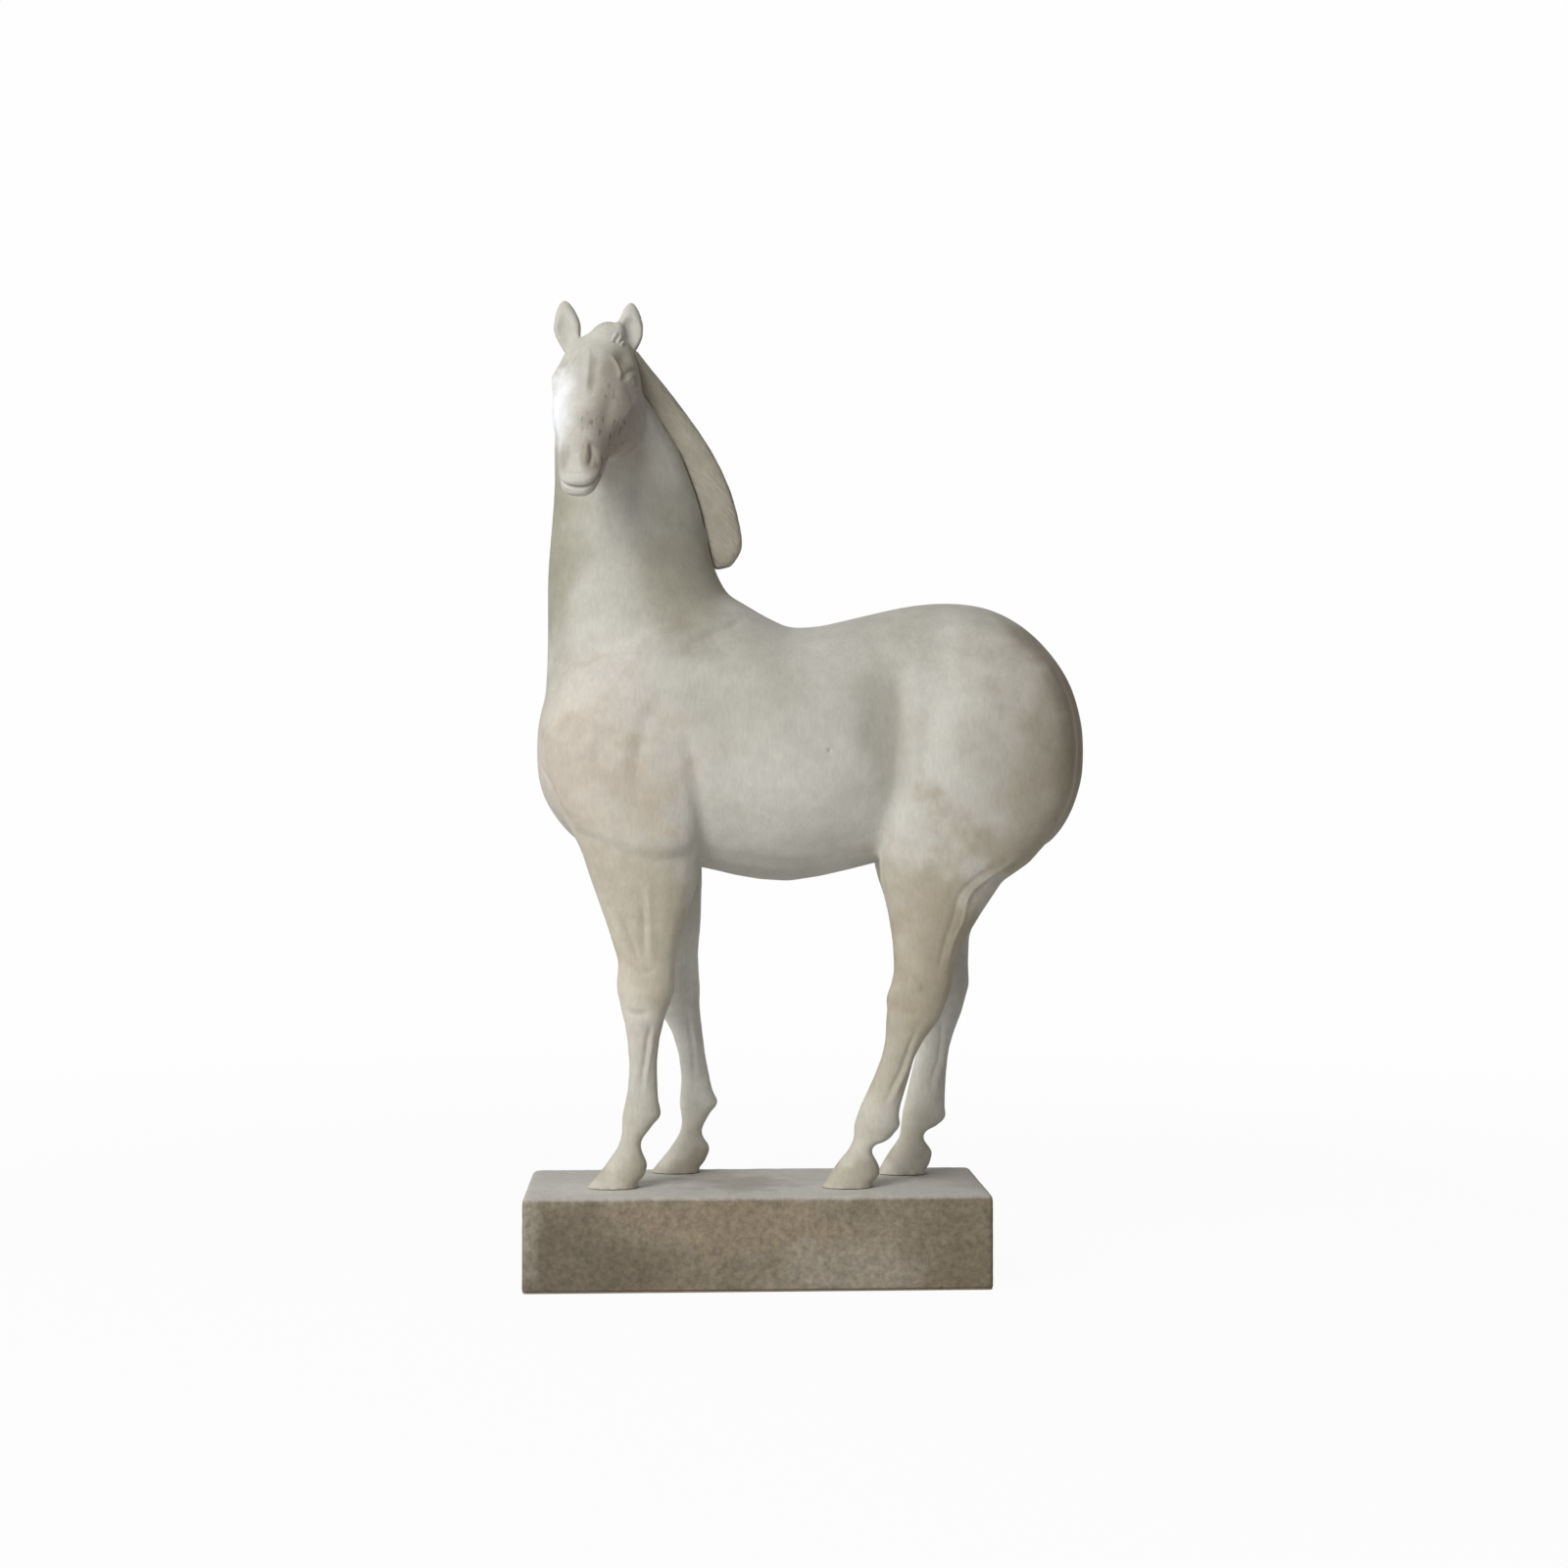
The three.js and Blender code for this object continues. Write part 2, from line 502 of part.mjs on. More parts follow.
// Trunk, neck and limb roots make one hollow casting; each leg below its parting is its own
const wholeNeck = neck(NECK, 0, 2, NECK_POINTS);
const trunkSeat = trunk(TRUNK, -BOND, 2, TRUNK_POINTS);
let body = trunk(TRUNK, 0, 2, TRUNK_POINTS).add(wholeNeck.intersect(below(NECK_PARTING - BOND / 2)));
LIMBS.forEach((each) => {
  const whole = limb(each.stations, each.side);
  const bore = solid(tube(rodPath(each, BOND), ROD_RADIUS + ROD_BORE_GAP));
  const { x, y } = rodFoot(each);
  const onFoot = (geometry) => geometry.translate(x, y, 0);
  const pocket = onFoot(plate(disc(POCKET_RADIUS), PLINTH_BOTTOM - BOND, POCKET_DEPTH + BOND));
  body = body.add(whole.intersect(above(each.parting + BOND / 2))).subtract(bore);
  plinth = plinth.subtract(bore).subtract(solid(pocket));
  const leg = whole.intersect(below(each.parting - BOND / 2)).subtract(trunkSeat).subtract(bore);
  const washerLow = NUT_SEAT - BOND - WASHER_HEIGHT;
  const nutLow = washerLow - BOND - NUT_HEIGHT;
  piece(`leg_${each.name}`, geometryOf(leg), CAST);
  piece(`rod_${each.name}`, tube(rodPath(each, 0), ROD_RADIUS), STEEL);
  piece(`washer_${each.name}`, onFoot(plate(holed(disc(WASHER_RADIUS)), washerLow, WASHER_HEIGHT)), STEEL);
  piece(`nut_${each.name}`, onFoot(plate(holed(hexagon(NUT_FLATS)), nutLow, NUT_HEIGHT)), STEEL);
});
piece('plinth', geometryOf(plinth), STONE);

// The body's hollow, its seat for the head, and the pins across its middle seam
const hollowTrunk = TRUNK.filter((s) => s.half > TRUNK_HOLLOW_LEAST);
const hollowNeck = NECK.filter((s) => s.z < NECK_PARTING - NECK_PLUG);
const headPin = (gap) => {
  const [radius, length] = [HEAD_PIN_RADIUS + gap, HEAD_PIN_LENGTH + 2 * gap];
  return pin(HEAD_PIN_X, 0, NECK_PARTING, radius, length, true);
};
const headPinHole = solid(headPin(BOND));
body = body
  .subtract(trunk(hollowTrunk, SHELL_WALL, 1, HOLLOW_POINTS))
  .subtract(neck(hollowNeck, SHELL_WALL, 1, HOLLOW_POINTS))
  .subtract(skull(BOND))
  .subtract(headPinHole);
SEAM_PINS.forEach(({ name, station, line, inward }) => {
  const inWall = station[line] + inward * SEAM_PIN_DEPTH;
  const { x = inWall, z = inWall } = station;
  const seamPin = (gap) => pin(x, 0, z, SEAM_PIN_RADIUS + gap, SEAM_PIN_LENGTH + 2 * gap, false);
  body = body.subtract(solid(seamPin(BOND)));
  piece(`seam_pin_${name}`, seamPin(0), STEEL);
});
piece('body_left_shell', geometryOf(body.intersect(leftOf(-BOND / 2))), CAST);
piece('body_right_shell', geometryOf(body.intersect(rightOf(BOND / 2))), CAST);

// Head with the top of the neck, its pin, the ears and the mane
const neckTop = wholeNeck.intersect(above(NECK_PARTING + BOND / 2));
const eyes = [EYE.aside, -EYE.aside].map((aside) => {
  const place = onHead(EYE.down, EYE.out, aside);
  const ball = new THREE.SphereGeometry(EYE.radius, 2 * ROUND_POINTS, ROUND_POINTS);
  return solid(ball.translate(place.x, place.y, place.z));
});
const wholeHead = skull(0).add(eyes[0]).add(eyes[1]).add(neckTop);
piece('head', geometryOf(wholeHead.subtract(headPinHole)), CAST);
piece('head_pin', headPin(0), STEEL);
const headSeat = skull(BOND).add(neck(NECK, -BOND, 2, NECK_POINTS)).add(trunkSeat);
let maneBlade = mane().subtract(headSeat);
EARS.forEach((each) => {
  const cupped = leaf(each, 1, 0, 0).subtract(leaf(each, EAR_HOLLOW_SHARE, EAR_HOLLOW_FORWARD, 0));
  piece(each.name, geometryOf(cupped.subtract(headSeat)), CAST);
  maneBlade = maneBlade.subtract(leaf(each, 1, 0, BOND));
});
piece('mane', geometryOf(maneBlade), CAST);

export default group;
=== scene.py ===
"""Dresses the horse statue: an aged off-white resin casting on a cast stone plinth.

The castings of the horse are joined into one skin without seams, rubbed down as a caster
does it, and carved with strokes of a modelling tool. Objects are in metres in the frame of
the model. Sizes in the classes are in millimetres, unless they say otherwise.
"""

import json
import logging
import math
from dataclasses import dataclass
from enum import Enum

import bpy
import numpy as np
from mathutils import Matrix, Vector, noise
from mathutils.kdtree import KDTree

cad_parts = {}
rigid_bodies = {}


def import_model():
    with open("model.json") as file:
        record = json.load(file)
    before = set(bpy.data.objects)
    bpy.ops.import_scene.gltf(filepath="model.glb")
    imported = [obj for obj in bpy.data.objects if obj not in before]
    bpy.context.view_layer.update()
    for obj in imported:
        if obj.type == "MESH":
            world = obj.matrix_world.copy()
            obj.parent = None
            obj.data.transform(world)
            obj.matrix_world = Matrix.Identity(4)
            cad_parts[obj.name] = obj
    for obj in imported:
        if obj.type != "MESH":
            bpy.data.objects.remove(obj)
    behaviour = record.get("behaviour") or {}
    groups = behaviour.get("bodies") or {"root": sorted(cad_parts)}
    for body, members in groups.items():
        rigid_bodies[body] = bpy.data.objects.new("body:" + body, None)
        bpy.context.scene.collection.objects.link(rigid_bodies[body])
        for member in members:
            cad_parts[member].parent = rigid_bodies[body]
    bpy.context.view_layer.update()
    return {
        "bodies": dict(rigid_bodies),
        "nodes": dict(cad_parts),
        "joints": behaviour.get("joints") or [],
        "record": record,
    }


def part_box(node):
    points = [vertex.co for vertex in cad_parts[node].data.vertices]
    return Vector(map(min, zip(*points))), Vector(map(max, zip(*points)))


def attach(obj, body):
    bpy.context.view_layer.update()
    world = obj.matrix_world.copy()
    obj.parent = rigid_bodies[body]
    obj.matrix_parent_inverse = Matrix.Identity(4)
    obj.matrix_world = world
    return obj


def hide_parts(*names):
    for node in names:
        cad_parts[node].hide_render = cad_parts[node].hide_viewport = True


log = logging.getLogger("horse_statue")

MM = 0.001
BODY = "root"
HOLLOW = "hollow"
MEDIAN_Y = 5.0
PLINTH_TOP_Z = 49.0
LEG_TOP_Z = 200.0

Point = tuple[float, float, float]
Span = tuple[float, float]
Colour = tuple[float, float, float, float]


def linear(code: str) -> Colour:
    """Turns an sRGB colour into the linear one that a shader takes.

    Args:
        code: Six hex digits, such as "d8d3c6".

    Returns:
        Red, green, blue and an alpha of 1.
    """
    channels = [int(code[i : i + 2], 16) / 255 for i in (0, 2, 4)]
    curve = [c / 12.92 if c <= 0.04045 else ((c + 0.055) / 1.055) ** 2.4 for c in channels]
    return (curve[0], curve[1], curve[2], 1.0)


def cells(size: float) -> float:
    """Gives a noise's scale: how many cells of this size, in millimetres, a metre holds."""
    return 1.0 / (size * MM)


def add_node(
    tree: bpy.types.NodeTree,
    kind: str,
    inputs: dict | None = None,
    stops: tuple[tuple[float, str], ...] = (),
    **settings: object,
) -> bpy.types.Node:
    """Adds one node with its settings and links.

    Args:
        tree: The node tree that it joins.
        kind: The node's type name after "ShaderNode".
        inputs: For each input, by name or number, its value, the socket that it is linked
            from, or the node whose first output it is linked from.
        stops: Places and sRGB colours of a colour ramp.
        settings: The node's own properties.

    Returns:
        The new node.
    """
    node = tree.nodes.new("ShaderNode" + kind)
    for name, value in settings.items():
        setattr(node, name, value)
    if stops:
        ramp = node.color_ramp.elements
        while len(ramp) < len(stops):
            ramp.new(1.0)
        for element, (place, code) in zip(ramp, stops):
            element.position = place
            element.color = linear(code)
    for name, value in (inputs or {}).items():
        if isinstance(value, bpy.types.Node):
            value = next(socket for socket in value.outputs if socket.enabled)
        if isinstance(value, bpy.types.NodeSocket):
            tree.links.new(value, node.inputs[name])
        else:
            node.inputs[name].default_value = value
    return node


def streaks(
    tree: bpy.types.NodeTree, place: bpy.types.NodeSocket | bpy.types.Node, sizes: Point, detail: float
) -> bpy.types.Node:
    """Adds noise that is drawn out into streaks.

    Args:
        tree: The node tree that it joins.
        place: The coordinates.
        sizes: How far a streak runs along X, Y and Z, in millimetres.
        detail: The noise's detail.

    Returns:
        The noise.
    """
    drawn = add_node(tree, "Mapping", {"Vector": place, "Scale": [cells(size) for size in sizes]})
    return add_node(tree, "TexNoise", {"Vector": drawn, "Scale": 1.0, "Detail": detail})


def cleared_tree(owner: bpy.types.Material | bpy.types.World) -> bpy.types.NodeTree:
    """Empties the node tree of a material or a world.

    Args:
        owner: The material or world.

    Returns:
        Its node tree, with nothing in it.
    """
    owner.use_nodes = True
    owner.node_tree.nodes.clear()
    return owner.node_tree


def select_only(piece: bpy.types.Object) -> None:
    """Selects one object and makes it the active one.

    Args:
        piece: The object.
    """
    bpy.ops.object.select_all(action="DESELECT")
    piece.select_set(True)
    bpy.context.view_layer.objects.active = piece


def apply_modifier(piece: bpy.types.Object, kind: str, **settings: object) -> None:
    """Puts a modifier on a piece and applies it.

    Args:
        piece: The object.
        kind: The modifier's type name.
        settings: The modifier's own properties.
    """
    select_only(piece)
    modifier = piece.modifiers.new(kind.title(), kind)
    for name, value in settings.items():
        setattr(modifier, name, value)
    bpy.ops.object.modifier_apply(modifier=modifier.name)


def in_edit_mode(piece: bpy.types.Object) -> None:
    """Opens a piece in edit mode with all of it selected.

    Args:
        piece: The object.
    """
    select_only(piece)
    bpy.ops.object.mode_set(mode="EDIT")
    bpy.ops.mesh.select_all(action="SELECT")


def copy_of(node: bpy.types.Object, name: str) -> bpy.types.Object:
    """Copies a node of the model into a loose object whose doubled vertices are merged.

    Args:
        node: The node, which is left alone.
        name: The copy's name.

    Returns:
        The copy, linked to the scene.
    """
    copy = bpy.data.objects.new(name, node.data.copy())
    copy.data.materials.clear()
    bpy.context.scene.collection.objects.link(copy)
    in_edit_mode(copy)
    bpy.ops.mesh.remove_doubles(threshold=1e-6)
    bpy.ops.object.mode_set(mode="OBJECT")
    return copy


def smoothstep(low: float, high: float, value: np.ndarray) -> np.ndarray:
    """Rises softly from 0 to 1.

    Args:
        low: The value at which it leaves 0.
        high: The value at which it reaches 1.
        value: The values.

    Returns:
        The share at each value.
    """
    share = np.clip((value - low) / (high - low), 0.0, 1.0)
    return share * share * (3.0 - 2.0 * share)


@dataclass(frozen=True)
class Wash:
    """Colour laid on in one place, which fades out in cloudy edges: pigment rubbed on, and in some lists painted
    light and shade.

    Attributes:
        centre: Its middle, in millimetres.
        radii: How far it runs out along X, Y and Z, in millimetres.
        colour: Its sRGB colour.
        strength: How much it covers in its middle.
        ragged: How far clouds break up its edge, or all of it from about 3 on.
        full: The share of the radii up to which it covers fully.
        ended: The share of the radii from which it covers nothing.
    """

    centre: Point
    radii: Point
    colour: str
    strength: float
    ragged: float = 0.9
    full: float = 0.3
    ended: float = 1.1

    def cover(
        self, tree: bpy.types.NodeTree, place: bpy.types.NodeSocket, clouds: bpy.types.Node
    ) -> bpy.types.Node:
        """Adds the nodes that say how much the wash covers.

        Args:
            tree: The material's node tree.
            place: The object coordinates.
            clouds: Noise round 0.5 that breaks up the edge.

        Returns:
            The share covered, from 0 to the wash's strength.
        """
        shift = [-c / r for c, r in zip(self.centre, self.radii)]
        scale = [cells(r) for r in self.radii]
        scaled = add_node(tree, "Mapping", {"Vector": place, "Location": shift, "Scale": scale})
        reach = add_node(tree, "VectorMath", {0: scaled}, operation="LENGTH")
        edge = add_node(tree, "Math", {0: clouds, 1: self.ragged, 2: reach}, operation="MULTIPLY_ADD")
        middle = self.ragged / 2
        span = {"From Min": middle + self.ended, "From Max": middle + self.full, "To Max": self.strength}
        return add_node(tree, "MapRange", {"Value": edge, **span}, interpolation_type="SMOOTHSTEP")


# Washes on the horse, with painted light and shade among them
HORSE_WASHES_AND_PAINTED_LIGHT: tuple[Wash, ...] = (
    # Rubbed clean low on the legs; painted light in pale cream all over the legs on the far side, which the body
    # shades
    Wash((20, 10, 60), (175, 95, 82), "cdc8b8", 1),
    Wash((25, 42, 135), (125, 34, 110), "ecebe3", 1),
    # Pinkish beige on the point of the shoulder, with brown blotches in it
    Wash((-88, -34, 268), (60, 50, 66), "d1c6b9", 0.85),
    Wash((-80, -38, 262), (42, 40, 46), "b3a896", 0.4, 4),
    # Olive down the front of the neck; painted shade in grey-brown on the back of the neck and in brown round the
    # buttock, on the sides turned from the light
    Wash((-118, -10, 390), (34, 55, 110), "93907d", 0.9),
    Wash((-38, -10, 366), (36, 55, 58), "999484", 0.85),
    Wash((-46, -10, 430), (26, 40, 60), "a3a090", 0.4),
    Wash((172, -20, 284), (84, 80, 104), "aba292", 0.75),
    Wash((188, -8, 300), (62, 75, 116), "8d806c", 0.9),
    Wash((148, -22, 232), (48, 46, 40), "a99e8a", 0.7),
    # Grey in the hollow of the flank
    Wash((66, -36, 290), (22, 40, 50), "aeaa9c", 0.7),
    # Tan from forearm to knee and from gaskin to hock, blotched
    Wash((-60, -24, 184), (38, 32, 74), "d3cab7", 0.85),
    Wash((94, -26, 172), (48, 32, 84), "b9ae99", 0.9),
    Wash((-58, -28, 196), (28, 24, 56), "ab9f88", 0.35, 3),
    Wash((98, -28, 190), (34, 24, 60), "a2957d", 0.4, 3),
    Wash((72, -24, 118), (26, 18, 34), "b3a78f", 0.5, 2),
    # Hooves rubbed paler, with brown left in their pits
    Wash((15, 8, 53), (150, 60, 17), "dcd8cb", 0.8),
    Wash((10, 10, 55), (150, 60, 15), "9b917b", 0.5, 4.5),
    # Painted highlight in chalk white on the left of the face; brown stain with painted shade over its right half
    # and the temple on that side
    Wash((-112, -44, 448), (20, 46, 50), "f9fafc", 1),
    Wash((-68, -52, 440), (27, 44, 52), "a1978a", 0.9),
    Wash((-79, -54, 438), (13, 44, 44), "a59d8f", 0.75),
    Wash((-67, -26, 479), (15, 22, 17), "8f8b7b", 0.85),
    # Darker grey-brown round the nostrils
    Wash((-85.5, -73, 423.4), (5.5, 14, 11), "969080", 0.7),
    Wash((-99.8, -70.7, 422.4), (5, 14, 11), "969080", 0.6),
)
FRONT_STAINS: tuple[Wash, ...] = (
    Wash((-100, -50, 14), (70, 60, 34), "675d4e", 0.75),
    Wash((112, -50, 8), (50, 60, 34), "6f6350", 0.6, 1.8),
    Wash((-8, -50, 34), (80, 30, 22), "96866e", 0.6, 2.5),
    Wash((42, -50, 10), (60, 50, 18), "a0978a", 0.6, 2),
    Wash((-118, -50, 40), (8, 60, 40), "a39a8a", 0.7, 1.8),
)
TOP_STAINS_AND_PAINTED_SHADE: tuple[Wash, ...] = (
    # Pale dust round the hooves
    Wash((-84, -18, 49), (46, 34, 7), "d5d2ca", 0.9),
    Wash((40, -24, 49), (46, 30, 7), "cfccc4", 0.9),
    # Darker between the hooves
    Wash((-10, -4, 49), (36, 32, 6), "a49e93", 0.85, 2),
    # Painted shade on the back right of the top
    Wash((118, 14, 49), (34, 60, 6), "a29c94", 0.7),
)


class Finish:
    """A finish of the real object, which says how its own surface shades."""

    name: str

    def shading(self, tree: bpy.types.NodeTree, place: bpy.types.NodeSocket) -> dict[str, object]:
        """Adds the nodes that colour and roughen the surface.

        Args:
            tree: The material's node tree.
            place: The object coordinates.

        Returns:
            The shader's inputs by name.
        """
        raise NotImplementedError

    def build(self) -> bpy.types.Material:
        """Builds the material.

        Returns:
            The material, named for the finish.
        """
        material = bpy.data.materials.new(self.name)
        tree = cleared_tree(material)
        place = add_node(tree, "TexCoord").outputs["Object"]
        shader = add_node(tree, "BsdfPrincipled", self.shading(tree, place))
        add_node(tree, "OutputMaterial", {"Surface": shader})
        return material

    @staticmethod
    def washed_over(
        tree: bpy.types.NodeTree,
        place: bpy.types.NodeSocket,
        clouds: bpy.types.Node,
        colour: bpy.types.Node,
        washes: tuple[Wash, ...],
    ) -> bpy.types.Node:
        """Lays washes over a colour, one on the other.

        Args:
            tree: The material's node tree.
            place: The object coordinates.
            clouds: Noise round 0.5 that breaks up their edges.
            colour: The colour beneath.
            washes: The washes, lowest first.

        Returns:
            The colour with the washes on it.
        """
        for wash in washes:
            mix = {"Factor": wash.cover(tree, place, clouds), "A": colour, "B": linear(wash.colour)}
            colour = add_node(tree, "Mix", mix, data_type="RGBA")
        return colour


@dataclass(frozen=True)
class AgedResin(Finish):
    """Marble-filled resin, cast and patinated by hand: chalky and matt, darker in its hollows.

    Attributes:
        name: The material's name.
        cream: The cast colour where it is rubbed clean.
        shade: The thin grey-green patina.
        dirt: What stays in the hollows.
        washes: The washes on one place each, with the painted light and shade among them.
        flecked: Where the dirt also sits in short flecks that run down the face.
        cloud: How far across a cloud of the patina is.
        patch: How far apart the washes' edges are broken up.
        mottle: How far across the mottling is.
        brush: Width, depth and length of a brush mark.
        fleck: Width, depth and length of a fleck.
        fleck_turn: Turn about X, in radians, that lays the flecks down the face.
        grain: Size of a grain, a little coarser than marble dust so that it shows.
        bump: Height of the grain.
        comb: Height of the combed lines, or 0 for none.
        comb_line: How far a combed line runs down and back, and across.
        comb_turn: Turn about Y, in radians, that lays the lines down and back.
    """

    name: str = "aged_marble_resin"
    cream: str = "d0cdc3"
    shade: str = "bcbaae"
    dirt: str = "74695a"
    washes: tuple[Wash, ...] = HORSE_WASHES_AND_PAINTED_LIGHT
    flecked: Wash | None = Wash((-75, -60, 440), (19, 38, 36), "5d503f", 1)
    cloud: float = 62.5
    patch: float = 22.222
    mottle: float = 7.1429
    brush: Point = (1.25, 1.25, 5.0)
    fleck: Point = (1.7857, 3.3333, 7.6923)
    fleck_turn: float = 0.69
    grain: float = 1.1111
    bump: float = 0.12
    comb: float = 0.0
    comb_line: Point = (16.667, 2.0, 1.4286)
    comb_turn: float = -0.75

    def with_flecks(
        self,
        tree: bpy.types.NodeTree,
        place: bpy.types.NodeSocket,
        clouds: bpy.types.Node,
        dirt: bpy.types.NodeSocket,
    ) -> bpy.types.Node:
        """Adds the flecks to the dirt in the hollows.

        Args:
            tree: The material's node tree.
            place: The object coordinates.
            clouds: Noise round 0.5 that breaks up the edge of where they lie.
            dirt: The share of dirt without them.

        Returns:
            The share of dirt with them.
        """
        turned = add_node(tree, "Mapping", {"Vector": place, "Rotation": (self.fleck_turn, 0.0, 0.0)})
        flecks = streaks(tree, turned, self.fleck, 2.0)
        span = {"From Min": 0.565, "From Max": 0.66, "To Max": 0.95}
        spots = add_node(tree, "MapRange", {"Value": flecks, **span})
        where = self.flecked.cover(tree, place, clouds)
        inside = add_node(tree, "Math", {0: spots, 1: where}, operation="MULTIPLY")
        return add_node(tree, "Math", {0: dirt, 1: inside}, operation="MAXIMUM")

    def shading(self, tree: bpy.types.NodeTree, place: bpy.types.NodeSocket) -> dict[str, object]:
        """Adds the patina, the washes with the painted light and shade, the dirt, the brush marks and the grain.

        Args:
            tree: The material's node tree.
            place: The object coordinates.

        Returns:
            The shader's inputs by name.
        """
        # Clouds of patina, and the washes over them, with painted light and shade among them
        clouds = add_node(tree, "TexNoise", {"Vector": place, "Scale": cells(self.cloud), "Detail": 6.0})
        shaded = add_node(tree, "MapRange", {"Value": clouds, "From Min": 0.4, "From Max": 0.66})
        mix = {"Factor": shaded, "A": linear(self.cream), "B": linear(self.shade)}
        base = add_node(tree, "Mix", mix, data_type="RGBA")
        patch = add_node(tree, "TexNoise", {"Vector": place, "Scale": cells(self.patch), "Detail": 4.0})
        colour = self.washed_over(tree, place, patch, base, self.washes)

        # Dirt in the carved hollows and in flecks
        dirt = add_node(tree, "Attribute", attribute_name=HOLLOW).outputs["Fac"]
        if self.flecked:
            dirt = self.with_flecks(tree, place, patch, dirt)
        dirty = add_node(
            tree, "Mix", {"Factor": dirt, "A": colour, "B": linear(self.dirt)}, data_type="RGBA"
        )

        # Brush marks and mottling, each a little lighter and darker
        marks = streaks(tree, place, self.brush, 2.0)
        mottle = add_node(tree, "TexNoise", {"Vector": place, "Scale": cells(self.mottle), "Detail": 4.0})
        both = add_node(tree, "Math", {0: marks, 1: mottle}, operation="ADD")
        span = {"From Min": 0.7, "From Max": 1.3, "To Min": 0.92, "To Max": 1.07}
        speckle = add_node(tree, "MapRange", {"Value": both, **span})
        finished = add_node(tree, "VectorMath", {0: dirty, "Scale": speckle}, operation="SCALE")

        # Grain, and the lines of the comb
        grain = add_node(tree, "TexNoise", {"Vector": place, "Scale": cells(self.grain), "Detail": 3.0})
        height = add_node(tree, "Math", {0: grain, 1: mottle}, operation="ADD")
        normal = add_node(tree, "Bump", {"Height": height, "Strength": 0.35, "Distance": self.bump * MM})
        if self.comb:
            turned = add_node(tree, "Mapping", {"Vector": place, "Rotation": (0.0, self.comb_turn, 0.0)})
            lines = streaks(tree, turned, self.comb_line, 3.0)
            combed = {"Height": lines, "Strength": 0.6, "Distance": self.comb * MM, "Normal": normal}
            normal = add_node(tree, "Bump", combed)
        return {
            "Base Color": finished,
            "Roughness": 0.66,
            "IOR": 1.45,
            "Specular IOR Level": 0.3,
            "Normal": normal,
        }


@dataclass(frozen=True)
class CastStone(Finish):
    """Cast stone, tinted through and rubbed back: matt and mottled, with sandy grain.

    Attributes:
        name: The material's name.
        dark: The brown of its damp-looking patches.
        middle: Its common grey-brown.
        light: The sandy patches.
        dust: The pale colour of its top: dust, and painted light from above.
        dust_and_painted_light_line: Heights between which the dust and the painted light begin.
        dust_and_painted_light_cover: How much the dust and the painted light cover.
        washes: The stains on its front.
        stains: The stains on its top, with painted shade among them.
        cloud: How far across a patch is.
        patch: How far apart the stains' edges are broken up.
        grit: Size of the sand, drawn coarser than it is so that it shows.
        bump: Height of the sand.
    """

    name: str = "tinted_cast_stone"
    dark: str = "746957"
    middle: str = "857a67"
    light: str = "978b76"
    # The top is paler: dust, and painted light from above
    dust: str = "d2cfc8"
    dust_and_painted_light_line: Span = (46.2, 48.6)
    dust_and_painted_light_cover: float = 0.9
    washes: tuple[Wash, ...] = FRONT_STAINS
    stains: tuple[Wash, ...] = TOP_STAINS_AND_PAINTED_SHADE
    cloud: float = 45.455
    patch: float = 16.667
    grit: float = 3.5714
    bump: float = 0.2

    def shading(self, tree: bpy.types.NodeTree, place: bpy.types.NodeSocket) -> dict[str, object]:
        """Adds the patches, the stains, the dust and painted light on top with its stains and painted shade, and the
        sand.

        Args:
            tree: The material's node tree.
            place: The object coordinates.

        Returns:
            The shader's inputs by name.
        """
        broad = {"Vector": place, "Scale": cells(self.cloud), "Detail": 8.0, "Roughness": 0.65}
        clouds = add_node(tree, "TexNoise", broad)
        stops = ((0.34, self.dark), (0.5, self.middle), (0.66, self.light))
        base = add_node(tree, "ValToRGB", {"Fac": clouds}, stops)
        patch = add_node(tree, "TexNoise", {"Vector": place, "Scale": cells(self.patch), "Detail": 5.0})
        colour = self.washed_over(tree, place, patch, base, self.washes)

        # Dust and painted light from above on top, with its own stains and painted shade
        height = add_node(tree, "SeparateXYZ", {"Vector": place}).outputs["Z"]
        low, high = (level * MM for level in self.dust_and_painted_light_line)
        span = {"From Min": low, "From Max": high, "To Max": self.dust_and_painted_light_cover}
        top = add_node(tree, "MapRange", {"Value": height, **span})
        dusty_and_painted_light = add_node(tree, "Mix", {"Factor": top, "A": colour, "B": linear(self.dust)}, data_type="RGBA")
        colour = self.washed_over(tree, place, patch, dusty_and_painted_light, self.stains)

        # Sand, which shows less under the dust and painted light
        fine = {"Vector": place, "Scale": cells(self.grit), "Detail": 7.0, "Roughness": 0.75}
        grit = add_node(tree, "TexNoise", fine)
        span = {"From Min": 0.32, "From Max": 0.68, "To Min": 0.64, "To Max": 1.36}
        speckle = add_node(tree, "MapRange", {"Value": grit, **span})
        span = {"From Max": self.dust_and_painted_light_cover, "To Min": 1.0, "To Max": 0.25}
        calm = add_node(tree, "MapRange", {"Value": top, **span})
        grains = add_node(tree, "Mix", {"Factor": calm, "A": 1.0, "B": speckle})
        finished = add_node(tree, "VectorMath", {0: colour, "Scale": grains}, operation="SCALE")
        relief = add_node(tree, "Bump", {"Height": grit, "Strength": 0.5, "Distance": self.bump * MM})
        return {"Base Color": finished, "Roughness": 0.8, "IOR": 1.5, "Normal": relief}


